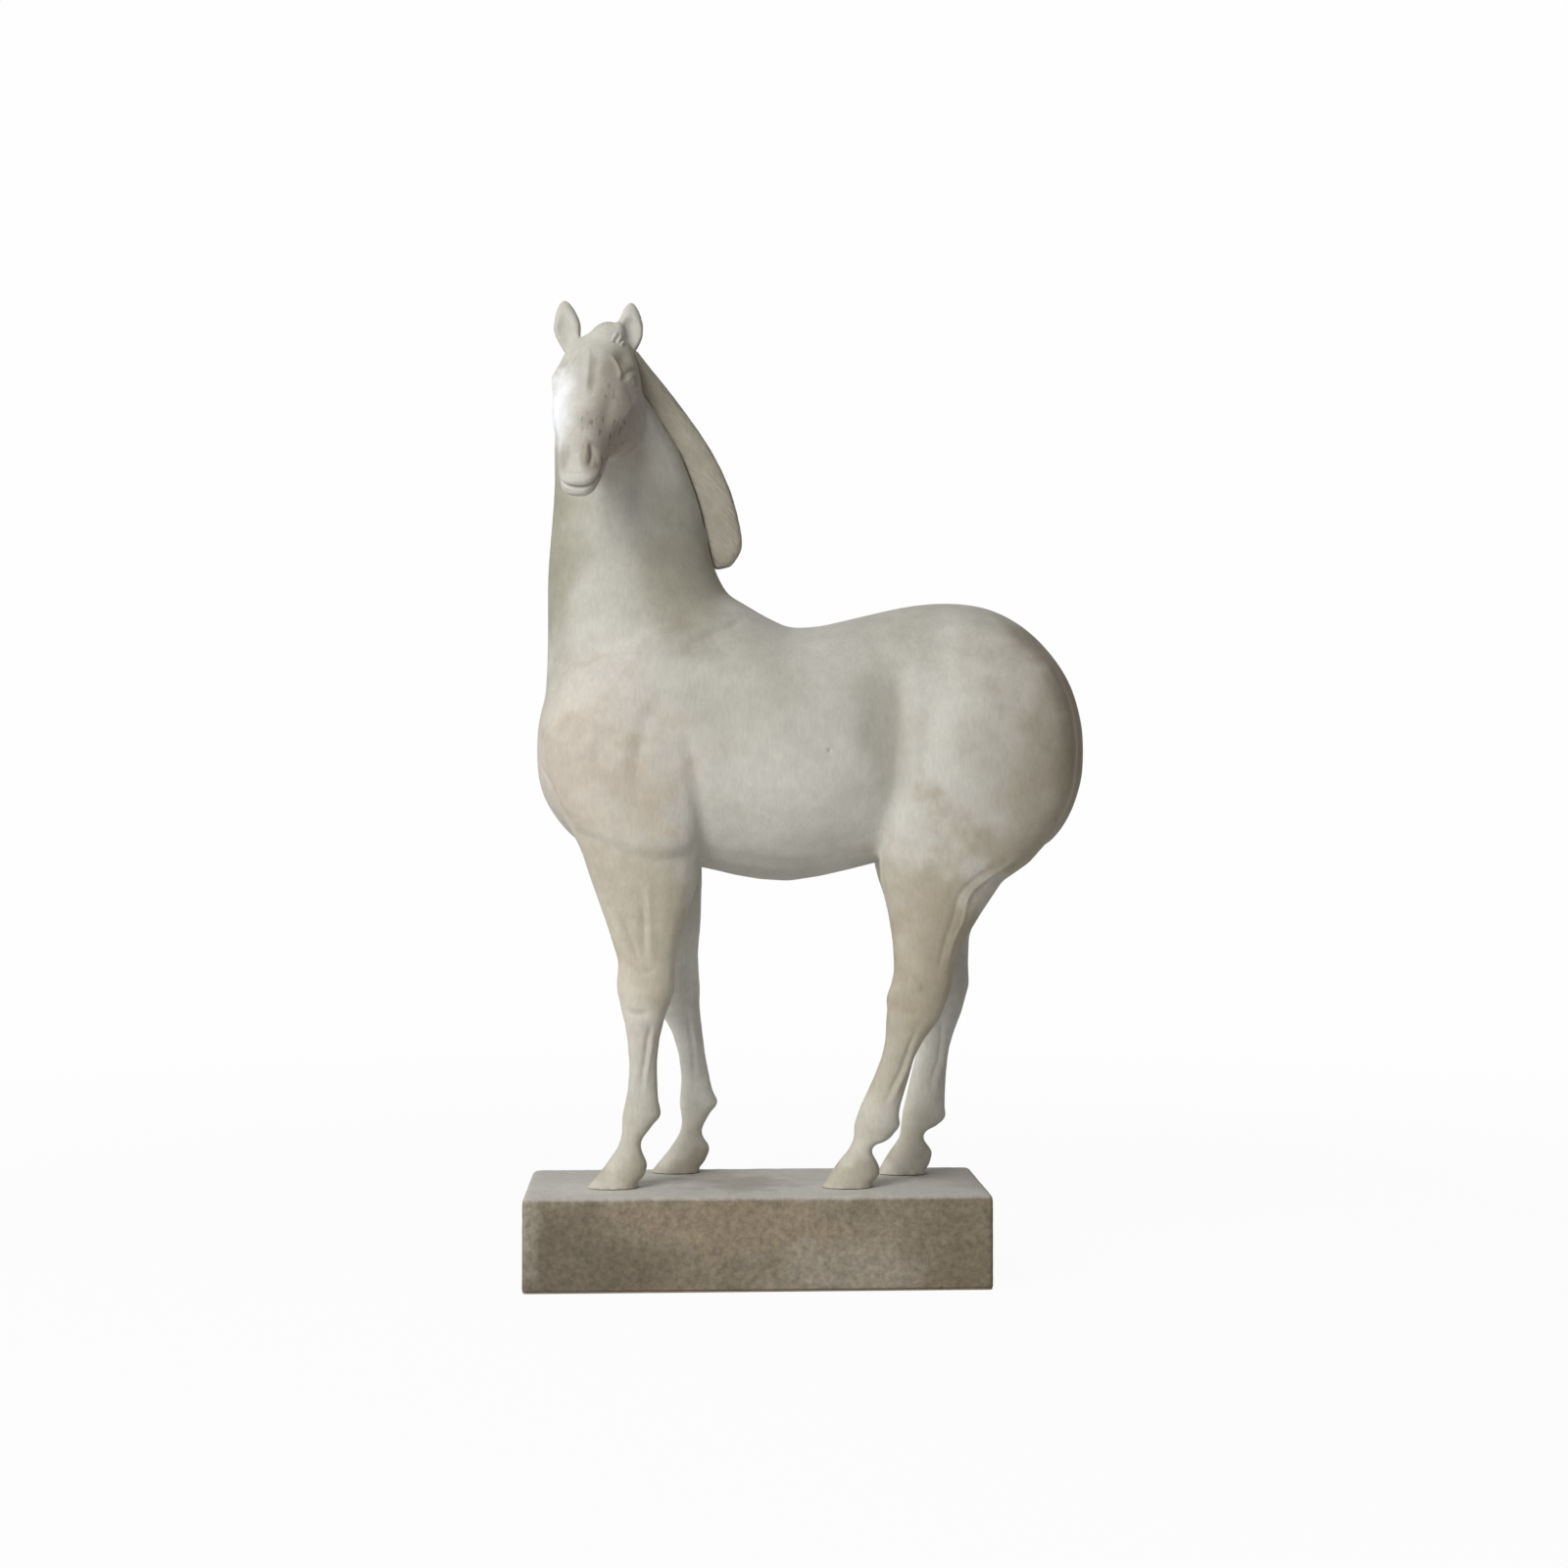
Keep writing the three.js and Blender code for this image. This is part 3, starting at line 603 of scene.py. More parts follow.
@dataclass(frozen=True)
class DrawnSteel(Finish):
    """Plain drawn steel bar, hidden inside: fine lines along its length.

    Attributes:
        name: The material's name.
        colour: The steel's colour.
        line: Width, depth and length of a drawn line.
        bump: Depth of the lines.
    """

    name: str = "drawn_steel"
    colour: str = "a9abae"
    line: Point = (0.5556, 0.5556, 11.111)
    bump: float = 0.03

    def shading(self, tree: bpy.types.NodeTree, place: bpy.types.NodeSocket) -> dict[str, object]:
        """Adds the drawn lines.

        Args:
            tree: The material's node tree.
            place: The object coordinates.

        Returns:
            The shader's inputs by name.
        """
        lines = streaks(tree, place, self.line, 2.0)
        rough = add_node(tree, "MapRange", {"Value": lines, "To Min": 0.28, "To Max": 0.46})
        relief = add_node(tree, "Bump", {"Height": lines, "Strength": 0.3, "Distance": self.bump * MM})
        return {"Base Color": linear(self.colour), "Metallic": 1.0, "Roughness": rough, "Normal": relief}


@dataclass(frozen=True)
class WoolFelt(Finish):
    """Pressed wool felt: very matt, with short tangled fibres.

    Attributes:
        name: The material's name.
        light: The fibres' colour.
        dark: The colour between them.
        fibre: How far apart the fibres lie.
        bump: Height of the fibres.
    """

    name: str = "pressed_wool_felt"
    light: str = "948a78"
    dark: str = "756c5d"
    fibre: float = 0.7143
    bump: float = 0.2

    def shading(self, tree: bpy.types.NodeTree, place: bpy.types.NodeSocket) -> dict[str, object]:
        """Adds the fibres.

        Args:
            tree: The material's node tree.
            place: The object coordinates.

        Returns:
            The shader's inputs by name.
        """
        tangle = {"Vector": place, "Scale": cells(self.fibre), "Detail": 4.0, "Distortion": 1.5}
        fibres = add_node(tree, "TexNoise", tangle)
        colour = add_node(tree, "ValToRGB", {"Fac": fibres}, ((0.35, self.dark), (0.65, self.light)))
        relief = add_node(tree, "Bump", {"Height": fibres, "Strength": 0.8, "Distance": self.bump * MM})
        return {"Base Color": colour, "Roughness": 0.95, "Sheen Weight": 0.2, "Normal": relief}


class Tool(Enum):
    """What a stroke of the modelling tool leaves across its path."""

    GROOVE = "groove"
    RIDGE = "ridge"
    STEP = "step"


class Mirror(Enum):
    """Where a form is repeated. The two on the head have the head's own axes."""

    BODY = "right side of the body"
    BODY_ONCE = "nowhere, on the body"
    LEGS = "both sides of both legs of the pair"
    HEAD = "other side of the head"
    HEAD_ONCE = "nowhere, on the head"


GROOVE, RIDGE, STEP = Tool
SIDES, ONCE, LEGS, HEAD_SIDES, HEAD_ONCE = Mirror


@dataclass(frozen=True)
class Stroke:
    """One stroke along a path on the surface.

    Attributes:
        tool: Groove, ridge, or a step that is raised on the path's left as seen from outside.
        width: Half width of the groove or ridge, or of the step's crisp side.
        height: Depth or height in the middle of the path.
        path: Points on or near the surface, in millimetres.
        mirror: Where the stroke is repeated.
        soft: How far a step's raised side runs out.
        ends: Share of the path over which it fades in and out.
    """

    tool: Tool
    width: float
    height: float
    path: tuple[Point, ...]
    mirror: Mirror = SIDES
    soft: float = 14.0
    ends: float = 0.3

    def across(self, offset: np.ndarray) -> np.ndarray:
        """Gives the height across the path.

        Args:
            offset: Signed distance from the path, positive on its left.

        Returns:
            The share of the stroke's height at each distance.
        """
        if self.tool is GROOVE:
            return -np.exp(-((offset / self.width) ** 2))
        if self.tool is RIDGE:
            return np.exp(-((offset / self.width) ** 2))
        rise = smoothstep(-self.width, self.width, offset)
        fall = np.exp(-((np.maximum(offset, 0.0) / self.soft) ** 2))
        dip = 0.35 * np.exp(-(((offset + self.width) / self.width) ** 2))
        return rise * fall - dip


@dataclass
class Surface:
    """The vertices of a skin as arrays, in millimetres.

    Attributes:
        points: One row for each vertex.
        normals: The outward direction at each vertex.
        edges: Pairs of vertices.
    """

    points: np.ndarray
    normals: np.ndarray
    edges: np.ndarray

    @classmethod
    def of(cls, piece: bpy.types.Object) -> "Surface":
        """Reads a piece's mesh.

        Args:
            piece: The object.

        Returns:
            Its surface.
        """
        mesh = piece.data
        points = np.empty(len(mesh.vertices) * 3)
        normals = np.empty(len(mesh.vertices) * 3)
        edges = np.empty(len(mesh.edges) * 2, dtype=int)
        mesh.vertices.foreach_get("co", points)
        mesh.vertices.foreach_get("normal", normals)
        mesh.edges.foreach_get("vertices", edges)
        return cls(points.reshape(-1, 3) / MM, normals.reshape(-1, 3), edges.reshape(-1, 2))

    def write(self, piece: bpy.types.Object) -> None:
        """Moves a piece's vertices to these points."""
        piece.data.vertices.foreach_set("co", (self.points * MM).ravel())
        piece.data.update()

    def neighbour_mean(self, values: np.ndarray) -> np.ndarray:
        """Averages values over each vertex's neighbours.

        Args:
            values: One row for each vertex.

        Returns:
            The averages, shaped like the values.
        """
        count = len(self.points)
        first, second = self.edges.T
        degree = np.bincount(self.edges.ravel(), minlength=count)
        columns = [
            np.bincount(first, column[second], count) + np.bincount(second, column[first], count)
            for column in values.T
        ]
        return np.stack(columns, axis=1) / degree[:, None]

    def relax(self, share: np.ndarray, passes: int) -> None:
        """Draws every point towards the middle of its neighbours.

        Args:
            share: How far each point goes in one pass, from 0 to 1.
            passes: How many times.
        """
        for _ in range(passes):
            pull = self.neighbour_mean(self.points) - self.points
            self.points += pull * share[:, None]

    def index(self) -> KDTree:
        """Builds the tree that finds the vertex nearest a place.

        Returns:
            The tree, which gives each vertex's number.
        """
        tree = KDTree(len(self.points))
        for number, point in enumerate(self.points):
            tree.insert(point, number)
        tree.balance()
        return tree


def resampled(path: np.ndarray, spacing: float) -> np.ndarray:
    """Runs a smooth curve through the points of a path.

    Args:
        path: The points, one row each.
        spacing: About how far apart the new points lie.

    Returns:
        The points of the curve.
    """
    if len(path) == 1:
        return path
    ends = [2 * path[0] - path[1], 2 * path[-1] - path[-2]]
    knots = np.vstack([ends[0], path, ends[1]])
    rows = []
    for a, b, c, d in zip(knots, knots[1:], knots[2:], knots[3:]):
        steps = max(2, int(np.linalg.norm(c - b) / spacing))
        t = np.arange(steps)[:, None] / steps
        rows.append(
            0.5 * (2 * b + (c - a) * t + (2 * a - 5 * b + 4 * c - d) * t**2 + (3 * b - a - 3 * c + d) * t**3)
        )
    return np.vstack([*rows, path[-1]])


@dataclass(frozen=True)
class HeadFrame:
    """The head's own directions, as the castings have them."""

    turn: float = math.radians(80.8)
    drop: float = math.radians(50.0)
    poll: Point = (-82.8, -13.0, 496.0)

    @property
    def axes(self) -> np.ndarray:
        """Works out the head's directions.

        Returns:
            Down the face, out of the face and to its left cheek, one row each.
        """
        heading = Vector((-math.cos(self.turn), -math.sin(self.turn), 0.0))
        side = Vector((0.0, 0.0, 1.0)).cross(heading)
        tilt = Matrix.Rotation(self.drop, 3, side)
        return np.array([tilt @ heading, tilt @ Vector((0.0, 0.0, 1.0)), side])

    def place(self, down: float, out: float, aside: float) -> Point:
        """Gives the point with these head coordinates."""
        return tuple(np.array(self.poll) + np.array([down, out, aside]) @ self.axes)

    def mirrored(self, points: np.ndarray) -> np.ndarray:
        """Reflects points across the head's middle plane."""
        side = self.axes[2]
        return points - 2 * ((points - self.poll) @ side)[:, None] * side


HEAD = HeadFrame()


@dataclass(frozen=True)
class Dab:
    """A soft lump of clay put on, or a thumb's hollow if its height is below zero.

    Attributes:
        centre: Its middle, in millimetres.
        radii: How far it runs out along X, Y and Z, or down, out and aside on the head.
        height: Its height in the middle.
        mirror: Where it is repeated. On the head its axes are the head's own.
    """

    centre: Point
    radii: Point
    height: float
    mirror: Mirror = SIDES

    def heights(self, surface: Surface, centre: np.ndarray) -> np.ndarray:
        """Works out what the dab does to every vertex.

        Args:
            surface: The skin.
            centre: Its middle, or the mirrored one.

        Returns:
            The height at each vertex.
        """
        gaps = surface.points - centre
        if self.mirror in (HEAD_SIDES, HEAD_ONCE):
            gaps = gaps @ HEAD.axes.T
        return self.height * np.exp(-((gaps / np.array(self.radii)) ** 2).sum(axis=1))


# Forms on trunk, neck and limbs. Where the left side shows a form, the right side has it too
BODY_DABS: tuple[Dab, ...] = (
    # Breast, triceps and the elbow that hangs over the forearm
    Dab((-92, -33, 284), (17, 16, 22), 1),
    Dab((-45, -38, 248), (15, 14, 22), 1.6),
    Dab((-48, -38, 231), (20, 12, 6.5), 1.7),
    Dab((-20, -40, 296), (16, 20, 20), -0.7),
    # Hollow of the flank, haunch and stifle
    Dab((63, -34, 286), (13, 18, 38), -2.2),
    Dab((100, -38, 290), (24, 20, 28), 0.9),
    Dab((77, -26, 236), (10, 14, 16), 1.3),
    Dab((118, -34, 250), (16, 16, 22), 0.7),
    Dab((98, -32, 196), (11, 12, 16), 0.8),
    # Near foreleg: knee, fetlock, pastern, heel
    Dab((-72.5, -16.5, 154), (4.5, 10, 7), 0.8, ONCE),
    Dab((-57, -27.5, 151), (9, 5, 7), 0.8, ONCE),
    Dab((-68.5, -16.5, 135), (5, 8, 5), -0.5, ONCE),
    Dab((-51, -16.5, 87), (4, 7, 4.5), 0.9, ONCE),
    Dab((-59.3, -16.5, 72), (4.5, 8, 4.5), -1.2, ONCE),
    Dab((-57.5, -16.5, 60.5), (4.5, 8, 4), 1.2, ONCE),
    Dab((-59, -16.5, 50), (5, 11, 3.2), -2, ONCE),
    Dab((-67, -24, 68), (6, 4, 5), -0.7, ONCE),
    # Far foreleg
    Dab((-44, 21.5, 151), (9, 5, 7), 0.8, ONCE),
    Dab((-21, 34.5, 87), (4, 7, 4.5), 1.5, ONCE),
    Dab((-27, 35, 71.5), (4.5, 8, 4), -0.9, ONCE),
    Dab((-25.2, 36, 61.5), (4.5, 8, 4.5), 1.9, ONCE),
    Dab((-26.5, 36, 50), (5, 11, 3.2), -2, ONCE),
    # Near hind leg
    Dab((70.5, -19, 147), (4.5, 10, 5), 1.3, ONCE),
    Dab((74.5, -20, 80), (4, 7, 4), 1.4, ONCE),
    Dab((62.5, -20, 68), (4.5, 8, 4), -2.2, ONCE),
    Dab((63.3, -20, 57.5), (4.5, 8, 4), 1.2, ONCE),
    Dab((62, -20, 50), (5, 11, 3), -2, ONCE),
    # Far hind leg
    Dab((102, 26, 79), (4, 7, 4), 1.5, ONCE),
    Dab((95.5, 25, 69.5), (4.5, 8, 3.8), -2.2, ONCE),
    Dab((95, 25, 60), (4.5, 8, 4.2), 1.8, ONCE),
    Dab((95, 25, 50), (5, 11, 3), -2, ONCE),
)
BODY_STROKES: tuple[Stroke, ...] = (
    # Lower edge of the neck, from the withers round to the breast, where it meets the shoulder
    Stroke(STEP, 4, 2, (
        (-8.7, -16.7, 349), (-39.2, -28.3, 340.2), (-52.1, -28.2, 337.6), (-77.1, -28.2, 325.2),
        (-97.3, -20.1, 318.2), (-107.8, -9.3, 310.3),
    ), soft=20),
    Stroke(GROOVE, 2.2, 1.2, ((-38.4, -33.1, 329.9), (-19.3, -29.7, 338.2), (-3.7, -19, 346.3))),
    # Groove behind the shoulder blade's spine, and a fainter one in front of it
    Stroke(GROOVE, 4.4, 1, (
        (-47, -37.5, 314), (-51.8, -38.5, 301.6), (-59.3, -40.7, 287.1), (-62.3, -41.8, 266.3),
        (-62.4, -41.9, 254), (-58, -41.5, 242),
    )),
    Stroke(GROOVE, 4, 0.6, (
        (-74, -40.3, 297), (-77.2, -40.3, 287.7), (-81.5, -41.1, 276.4), (-83.4, -40.8, 258),
    )),
    # Rear edge of the triceps
    Stroke(STEP, 4.6, 1.7, (
        (-28.5, -25, 224), (-29.9, -28.5, 231.4), (-33.1, -34.1, 246.3), (-37, -39, 266.6),
        (-42, -40.5, 288),
    ), soft=16),
    # Under the triceps, where the forearm comes out of it
    Stroke(STEP, 3.6, 1.2, (
        (-97, -29.6, 240), (-90, -33, 235), (-81.7, -36.8, 231.7), (-71.3, -39.4, 228),
        (-56.3, -39.5, 223), (-40.5, -36.1, 223.5), (-30.4, -28.8, 229.5),
    ), soft=12, ends=0.15),
    # Breast muscle, in front of the one on the far side
    Stroke(STEP, 2.4, 1.2, (
        (-113.5, -13, 278), (-112.8, -15.2, 271.3), (-104.8, -27.9, 256.2), (-97.3, -29.6, 240.8),
        (-92.1, -29.9, 232.5),
    ), soft=12),
    # Forearm: a ridge down its outside with grooves in front of it
    Stroke(GROOVE, 2.2, 1.3, (
        (-60.5, -36, 209), (-59, -34.5, 199), (-58.6, -31.6, 186.5), (-58.2, -29, 172),
        (-57.7, -27.8, 158.5),
    ), LEGS, ends=0.5),
    Stroke(RIDGE, 2.2, 0.7, (
        (-53.7, -36.9, 212.7), (-56.2, -35.1, 203.2), (-56.1, -31.5, 186.9), (-55.4, -28.9, 172),
        (-52.5, -27.5, 162.8),
    ), LEGS),
    Stroke(GROOVE, 1.9, 1.4, (
        (-72.5, -30, 196), (-70.5, -30, 189), (-67, -29, 179), (-63.2, -28, 169.6), (-61, -27.6, 163),
    ), LEGS),
    # Knee
    Stroke(GROOVE, 1.6, 0.9, (
        (-68, -24, 166), (-63.9, -27, 163.4), (-58.1, -27.8, 160), (-52, -27.3, 163.5),
    ), LEGS),
    Stroke(GROOVE, 1.9, 1.1, (
        (-69.5, -21, 143), (-66, -24.5, 140.2), (-61, -25.8, 139), (-55.5, -25.9, 141.5),
    ), LEGS),
    # Fore cannon: the groove between bone and tendon
    Stroke(GROOVE, 1.3, 1, (
        (-54.6, -24.4, 138), (-56.3, -23.4, 128), (-58, -22.7, 117), (-59.6, -22.5, 105.3),
        (-60.6, -23, 95),
    ), LEGS),
    Stroke(RIDGE, 1.1, 0.6, (
        (-53.2, -23.7, 134.8), (-55, -22.3, 122.1), (-57.2, -22.4, 108.3), (-58.3, -23, 97.1),
    ), LEGS),
    # Under the fetlock
    Stroke(GROOVE, 1.7, 0.6, (
        (-68.5, -20.5, 84), (-65, -23.5, 81.5), (-61, -23.3, 79), (-57, -21, 77),
    ), LEGS),
    # Front edge of the haunch, down to the stifle
    Stroke(STEP, 6.5, 3, (
        (77, -26, 332), (78, -32.6, 312), (78.7, -35.7, 289.2), (77.4, -35.2, 269.2), (75.9, -31.4, 251.3),
        (70, -27.6, 235.3), (65.7, -21, 223),
    ), soft=26),
    Stroke(GROOVE, 1.8, 0.8, ((64.4, -21.3, 226.2), (65.5, -21.6, 212.8), (68.7, -18.9, 196.6))),
    # Achilles tendon, a thin ridge from the buttock to the point of the hock
    Stroke(RIDGE, 1.3, 0.7, (
        (140.9, -31.3, 224), (131.7, -33, 217.6), (117.4, -32.9, 208.6), (109.6, -33, 200.6),
        (107, -29.9, 189), (102.5, -28.5, 178.4), (99, -27.1, 165.4), (96.5, -27, 155.1),
    ), LEGS, ends=0.35),
    Stroke(GROOVE, 1.5, 0.6, (
        (127, -35.4, 219.3), (112, -35, 209), (105, -34.6, 201.7), (101.7, -32.1, 190.2),
        (97.6, -29.7, 176.2), (94.8, -28.6, 164.4), (92.9, -28.3, 155.3),
    ), LEGS, ends=0.25),
    Stroke(GROOVE, 2.4, 0.6, ((86, -36.8, 219.5), (92, -36.7, 214.6), (98.9, -35.9, 208.5))),
    # Two small bones on the outside of the hock
    Stroke(RIDGE, 2.2, 0.9, ((78, -28, 157), (81.3, -28.5, 155.2), (85.1, -28.7, 150.8)), LEGS),
    Stroke(GROOVE, 1.8, 0.8, ((74, -26, 142), (79, -28, 139), (85, -27.5, 138.5)), LEGS),
    # Hind cannon: the groove between bone and tendon
    Stroke(GROOVE, 1.1, 0.8, (
        (84.6, -26.5, 136.2), (80.3, -26.5, 124.2), (75.3, -25.5, 110.7), (69.4, -26.2, 98.3),
        (65.4, -26.8, 88.8),
    ), LEGS),
    Stroke(RIDGE, 1.1, 0.6, (
        (83.6, -24.2, 125.2), (78.7, -23.9, 111.7), (72.4, -25.2, 98.3), (68.6, -25.8, 89.8),
    ), LEGS),
    Stroke(GROOVE, 1.7, 0.7, ((52.5, -22, 83), (56, -26.5, 79.5), (61, -26.8, 76), (66, -24, 73.5)), LEGS),
    # Two casting pits on the barrel
    Stroke(GROOVE, 0.8, 1, ((36.2, -43, 277), (36.6, -43, 275)), ONCE),
    Stroke(GROOVE, 0.6, 0.8, ((16.9, -44, 284.6), (17.1, -44, 283.4)), ONCE),
)


def on_head(*rows: Point) -> tuple[Point, ...]:
    """Gives the points with these head coordinates: down the face, out of it and aside."""
    return tuple(HEAD.place(*row) for row in rows)


def across_head(*rows: Point) -> tuple[Point, ...]:
    """Gives a path over the head's middle from its half on one side, last point in the middle."""
    far = [(down, out, -aside) for down, out, aside in reversed(rows[:-1])]
    return on_head(*rows, *far)


HEAD_DABS: tuple[Dab, ...] = (
    # Temple hollow, brow bone and the dome of the forehead
    Dab(HEAD.place(19, -1, 15.5), (6, 5, 4), -2.4, HEAD_SIDES),
    Dab(HEAD.place(25, -2.5, 17), (5, 5, 4), 0.9, HEAD_SIDES),
    Dab(HEAD.place(24, 1, 0), (16, 8, 9), 0.8, HEAD_ONCE),
    # Eyeball, and the sunken skin under it
    Dab(HEAD.place(30, -9, 20.5), (4.4, 4.4, 4.4), -0.8, HEAD_ONCE),
    Dab(HEAD.place(38, -9, 20), (5, 5, 5), -0.7, HEAD_SIDES),
    Dab(HEAD.place(25, -7.5, -19.5), (5, 4.6, 4.5), 1.5, HEAD_ONCE),
    Dab(HEAD.place(42, -8, -18.5), (6.5, 7, 6), -1.1, HEAD_ONCE),
    # Cheek plate, hollow in front of it, and the flat sides of the nose
    Dab(HEAD.place(33, -31, 22), (15, 14, 12), 1.2, HEAD_SIDES),
    Dab(HEAD.place(51, -31, 18), (15, 13, 9), 2.4, HEAD_ONCE),
    Dab(HEAD.place(62, -20, 14), (11, 8, 8), -1.3, HEAD_SIDES),
    Dab(HEAD.place(60, -2, 12.5), (18, 5, 4), -1.5, HEAD_SIDES),
    Dab(HEAD.place(55, -10, -19), (17, 14, 8), -3.4, HEAD_ONCE),
    # Nostril wings, the upper lip between them, the muzzle's two sides
    Dab(HEAD.place(94, -6, 10.5), (7, 5, 4), 0.5, HEAD_SIDES),
    Dab(HEAD.place(97, -1, 0), (6, 4, 3.5), -0.6, HEAD_ONCE),
    Dab(HEAD.place(95, -10, -12), (14, 12, 7), -1.8, HEAD_ONCE),
    Dab(HEAD.place(95, -10, 12), (14, 12, 7), 0.9, HEAD_ONCE),
    # Chin, and the groove behind it
    Dab(HEAD.place(97, -24, 0), (6, 5, 9), -0.4, HEAD_ONCE),
    Dab(HEAD.place(84, -25, 0), (5, 5, 10), -1.2, HEAD_ONCE),
    Dab(HEAD.place(101, -17, 12), (8, 6, 6), -2, HEAD_ONCE),
)
HEAD_STROKES: tuple[Stroke, ...] = (
    # Line of the brow, and the two lids
    Stroke(RIDGE, 1.2, 1.2, on_head(
        (19, 0.8, 7.5), (21.6, 0.5, 10.5), (27.5, -1.4, 13.4), (31.9, -2.8, 14.7), (34.7, -2.7, 13.5),
    ), HEAD_SIDES),
    Stroke(RIDGE, 0.9, 0.45, on_head(
        (35, -6, 18.5), (30.5, -4.8, 19.6), (26, -7, 21.4), (24.5, -12, 22),
    ), HEAD_SIDES),
    Stroke(GROOVE, 1.1, 0.6, on_head(
        (36.5, -3.5, 17), (30.5, -2.2, 18), (24.5, -4.5, 20), (21.5, -10, 21.4),
    ), HEAD_SIDES),
    Stroke(RIDGE, 0.8, 0.35, on_head(
        (35, -6, 18.5), (35, -10.5, 20.5), (31, -13.6, 22), (25.5, -13, 22.4),
    ), HEAD_SIDES),
    # Light line down the forehead, with a groove on each side of it
    Stroke(RIDGE, 1.3, 0.7, on_head(
        (14, 2, -2.8), (20, 1.9, -2.2), (36, 0.4, -1.2), (50, 0, -1.2),
    ), HEAD_ONCE),
    Stroke(GROOVE, 1.8, 0.35, on_head(
        (12, 1.5, -6.5), (22, 1.5, -5.5), (38, 0, -4.6), (52, 0, -4.4),
    ), HEAD_ONCE),
    Stroke(GROOVE, 2, 0.9, on_head((15, 1.8, 2.6), (24, 1.4, 2.6), (38, 0, 2.4), (54, 0, 2.6)), HEAD_ONCE),
    # Facial crest of the right cheek
    Stroke(RIDGE, 2, 0.6, on_head((42, -13, 20.5), (52, -11.5, 18.5), (66, -9, 15.5)), HEAD_ONCE),
    # Nostril slit, its inner rim and its outer rim
    Stroke(GROOVE, 1.4, 1.3, on_head(
        (86.5, -0.8, 6.4), (92, -2, 8), (97, -3.5, 7.6), (100.5, -4.5, 5),
    ), HEAD_SIDES),
    Stroke(RIDGE, 1.1, 0.6, on_head((85, 0, 4.6), (93, -0.5, 4.9), (99, -2.5, 4.2)), HEAD_SIDES),
    Stroke(RIDGE, 1.2, 0.3, on_head((87, -4, 10.6), (95, -6.5, 11.2), (101, -8.5, 8.6)), HEAD_SIDES),
    # Mouth, with the lips above and below it
    Stroke(GROOVE, 1, 1.9, on_head(
        (86, -6.5, 11.6), (90.6, -6.9, 11.3), (97.2, -9.5, 11.1), (103, -11.9, 9.3), (106.5, -12.4, 4.6),
        (106.8, -12.2, 0), (106.3, -11.6, -4), (103.5, -11.4, -8), (98, -12, -10.4),
    ), HEAD_ONCE, ends=0.18),
    Stroke(RIDGE, 1.7, 0.5, across_head(
        (88, -18, 10.5), (98, -17, 9.6), (104, -16.5, 6.5), (106.2, -16, 0),
    ), HEAD_ONCE),
    Stroke(RIDGE, 1.5, 0.35, across_head(
        (92, -10, 11.4), (99.5, -9, 9.8), (104.5, -8.6, 6), (106.4, -8.8, 0),
    ), HEAD_ONCE),
    Stroke(GROOVE, 0.9, 0.4, across_head((101, -6.2, 7.5), (103, -6.2, 3.5), (103.4, -5.8, 0)), HEAD_ONCE),
    # Three thin locks at the foot of the right ear, and the hollow between them
    Stroke(RIDGE, 0.75, 0.9, on_head((1.5, 0.5, 9.5), (5, 0.9, 8.8), (8.5, 1, 8.2)), HEAD_ONCE),
    Stroke(RIDGE, 0.75, 0.9, on_head((2, 0, 12), (5, -0.5, 11.4), (9, 0, 10.6)), HEAD_ONCE),
    Stroke(RIDGE, 0.75, 0.9, on_head((4, -1.5, 14.2), (8, -1.2, 13.4), (11, -0.8, 12.4)), HEAD_ONCE),
    Stroke(GROOVE, 0.9, 0.9, on_head((6, 0.5, 10.2), (9.5, 0.5, 9.5)), HEAD_ONCE, ends=0.4),
)


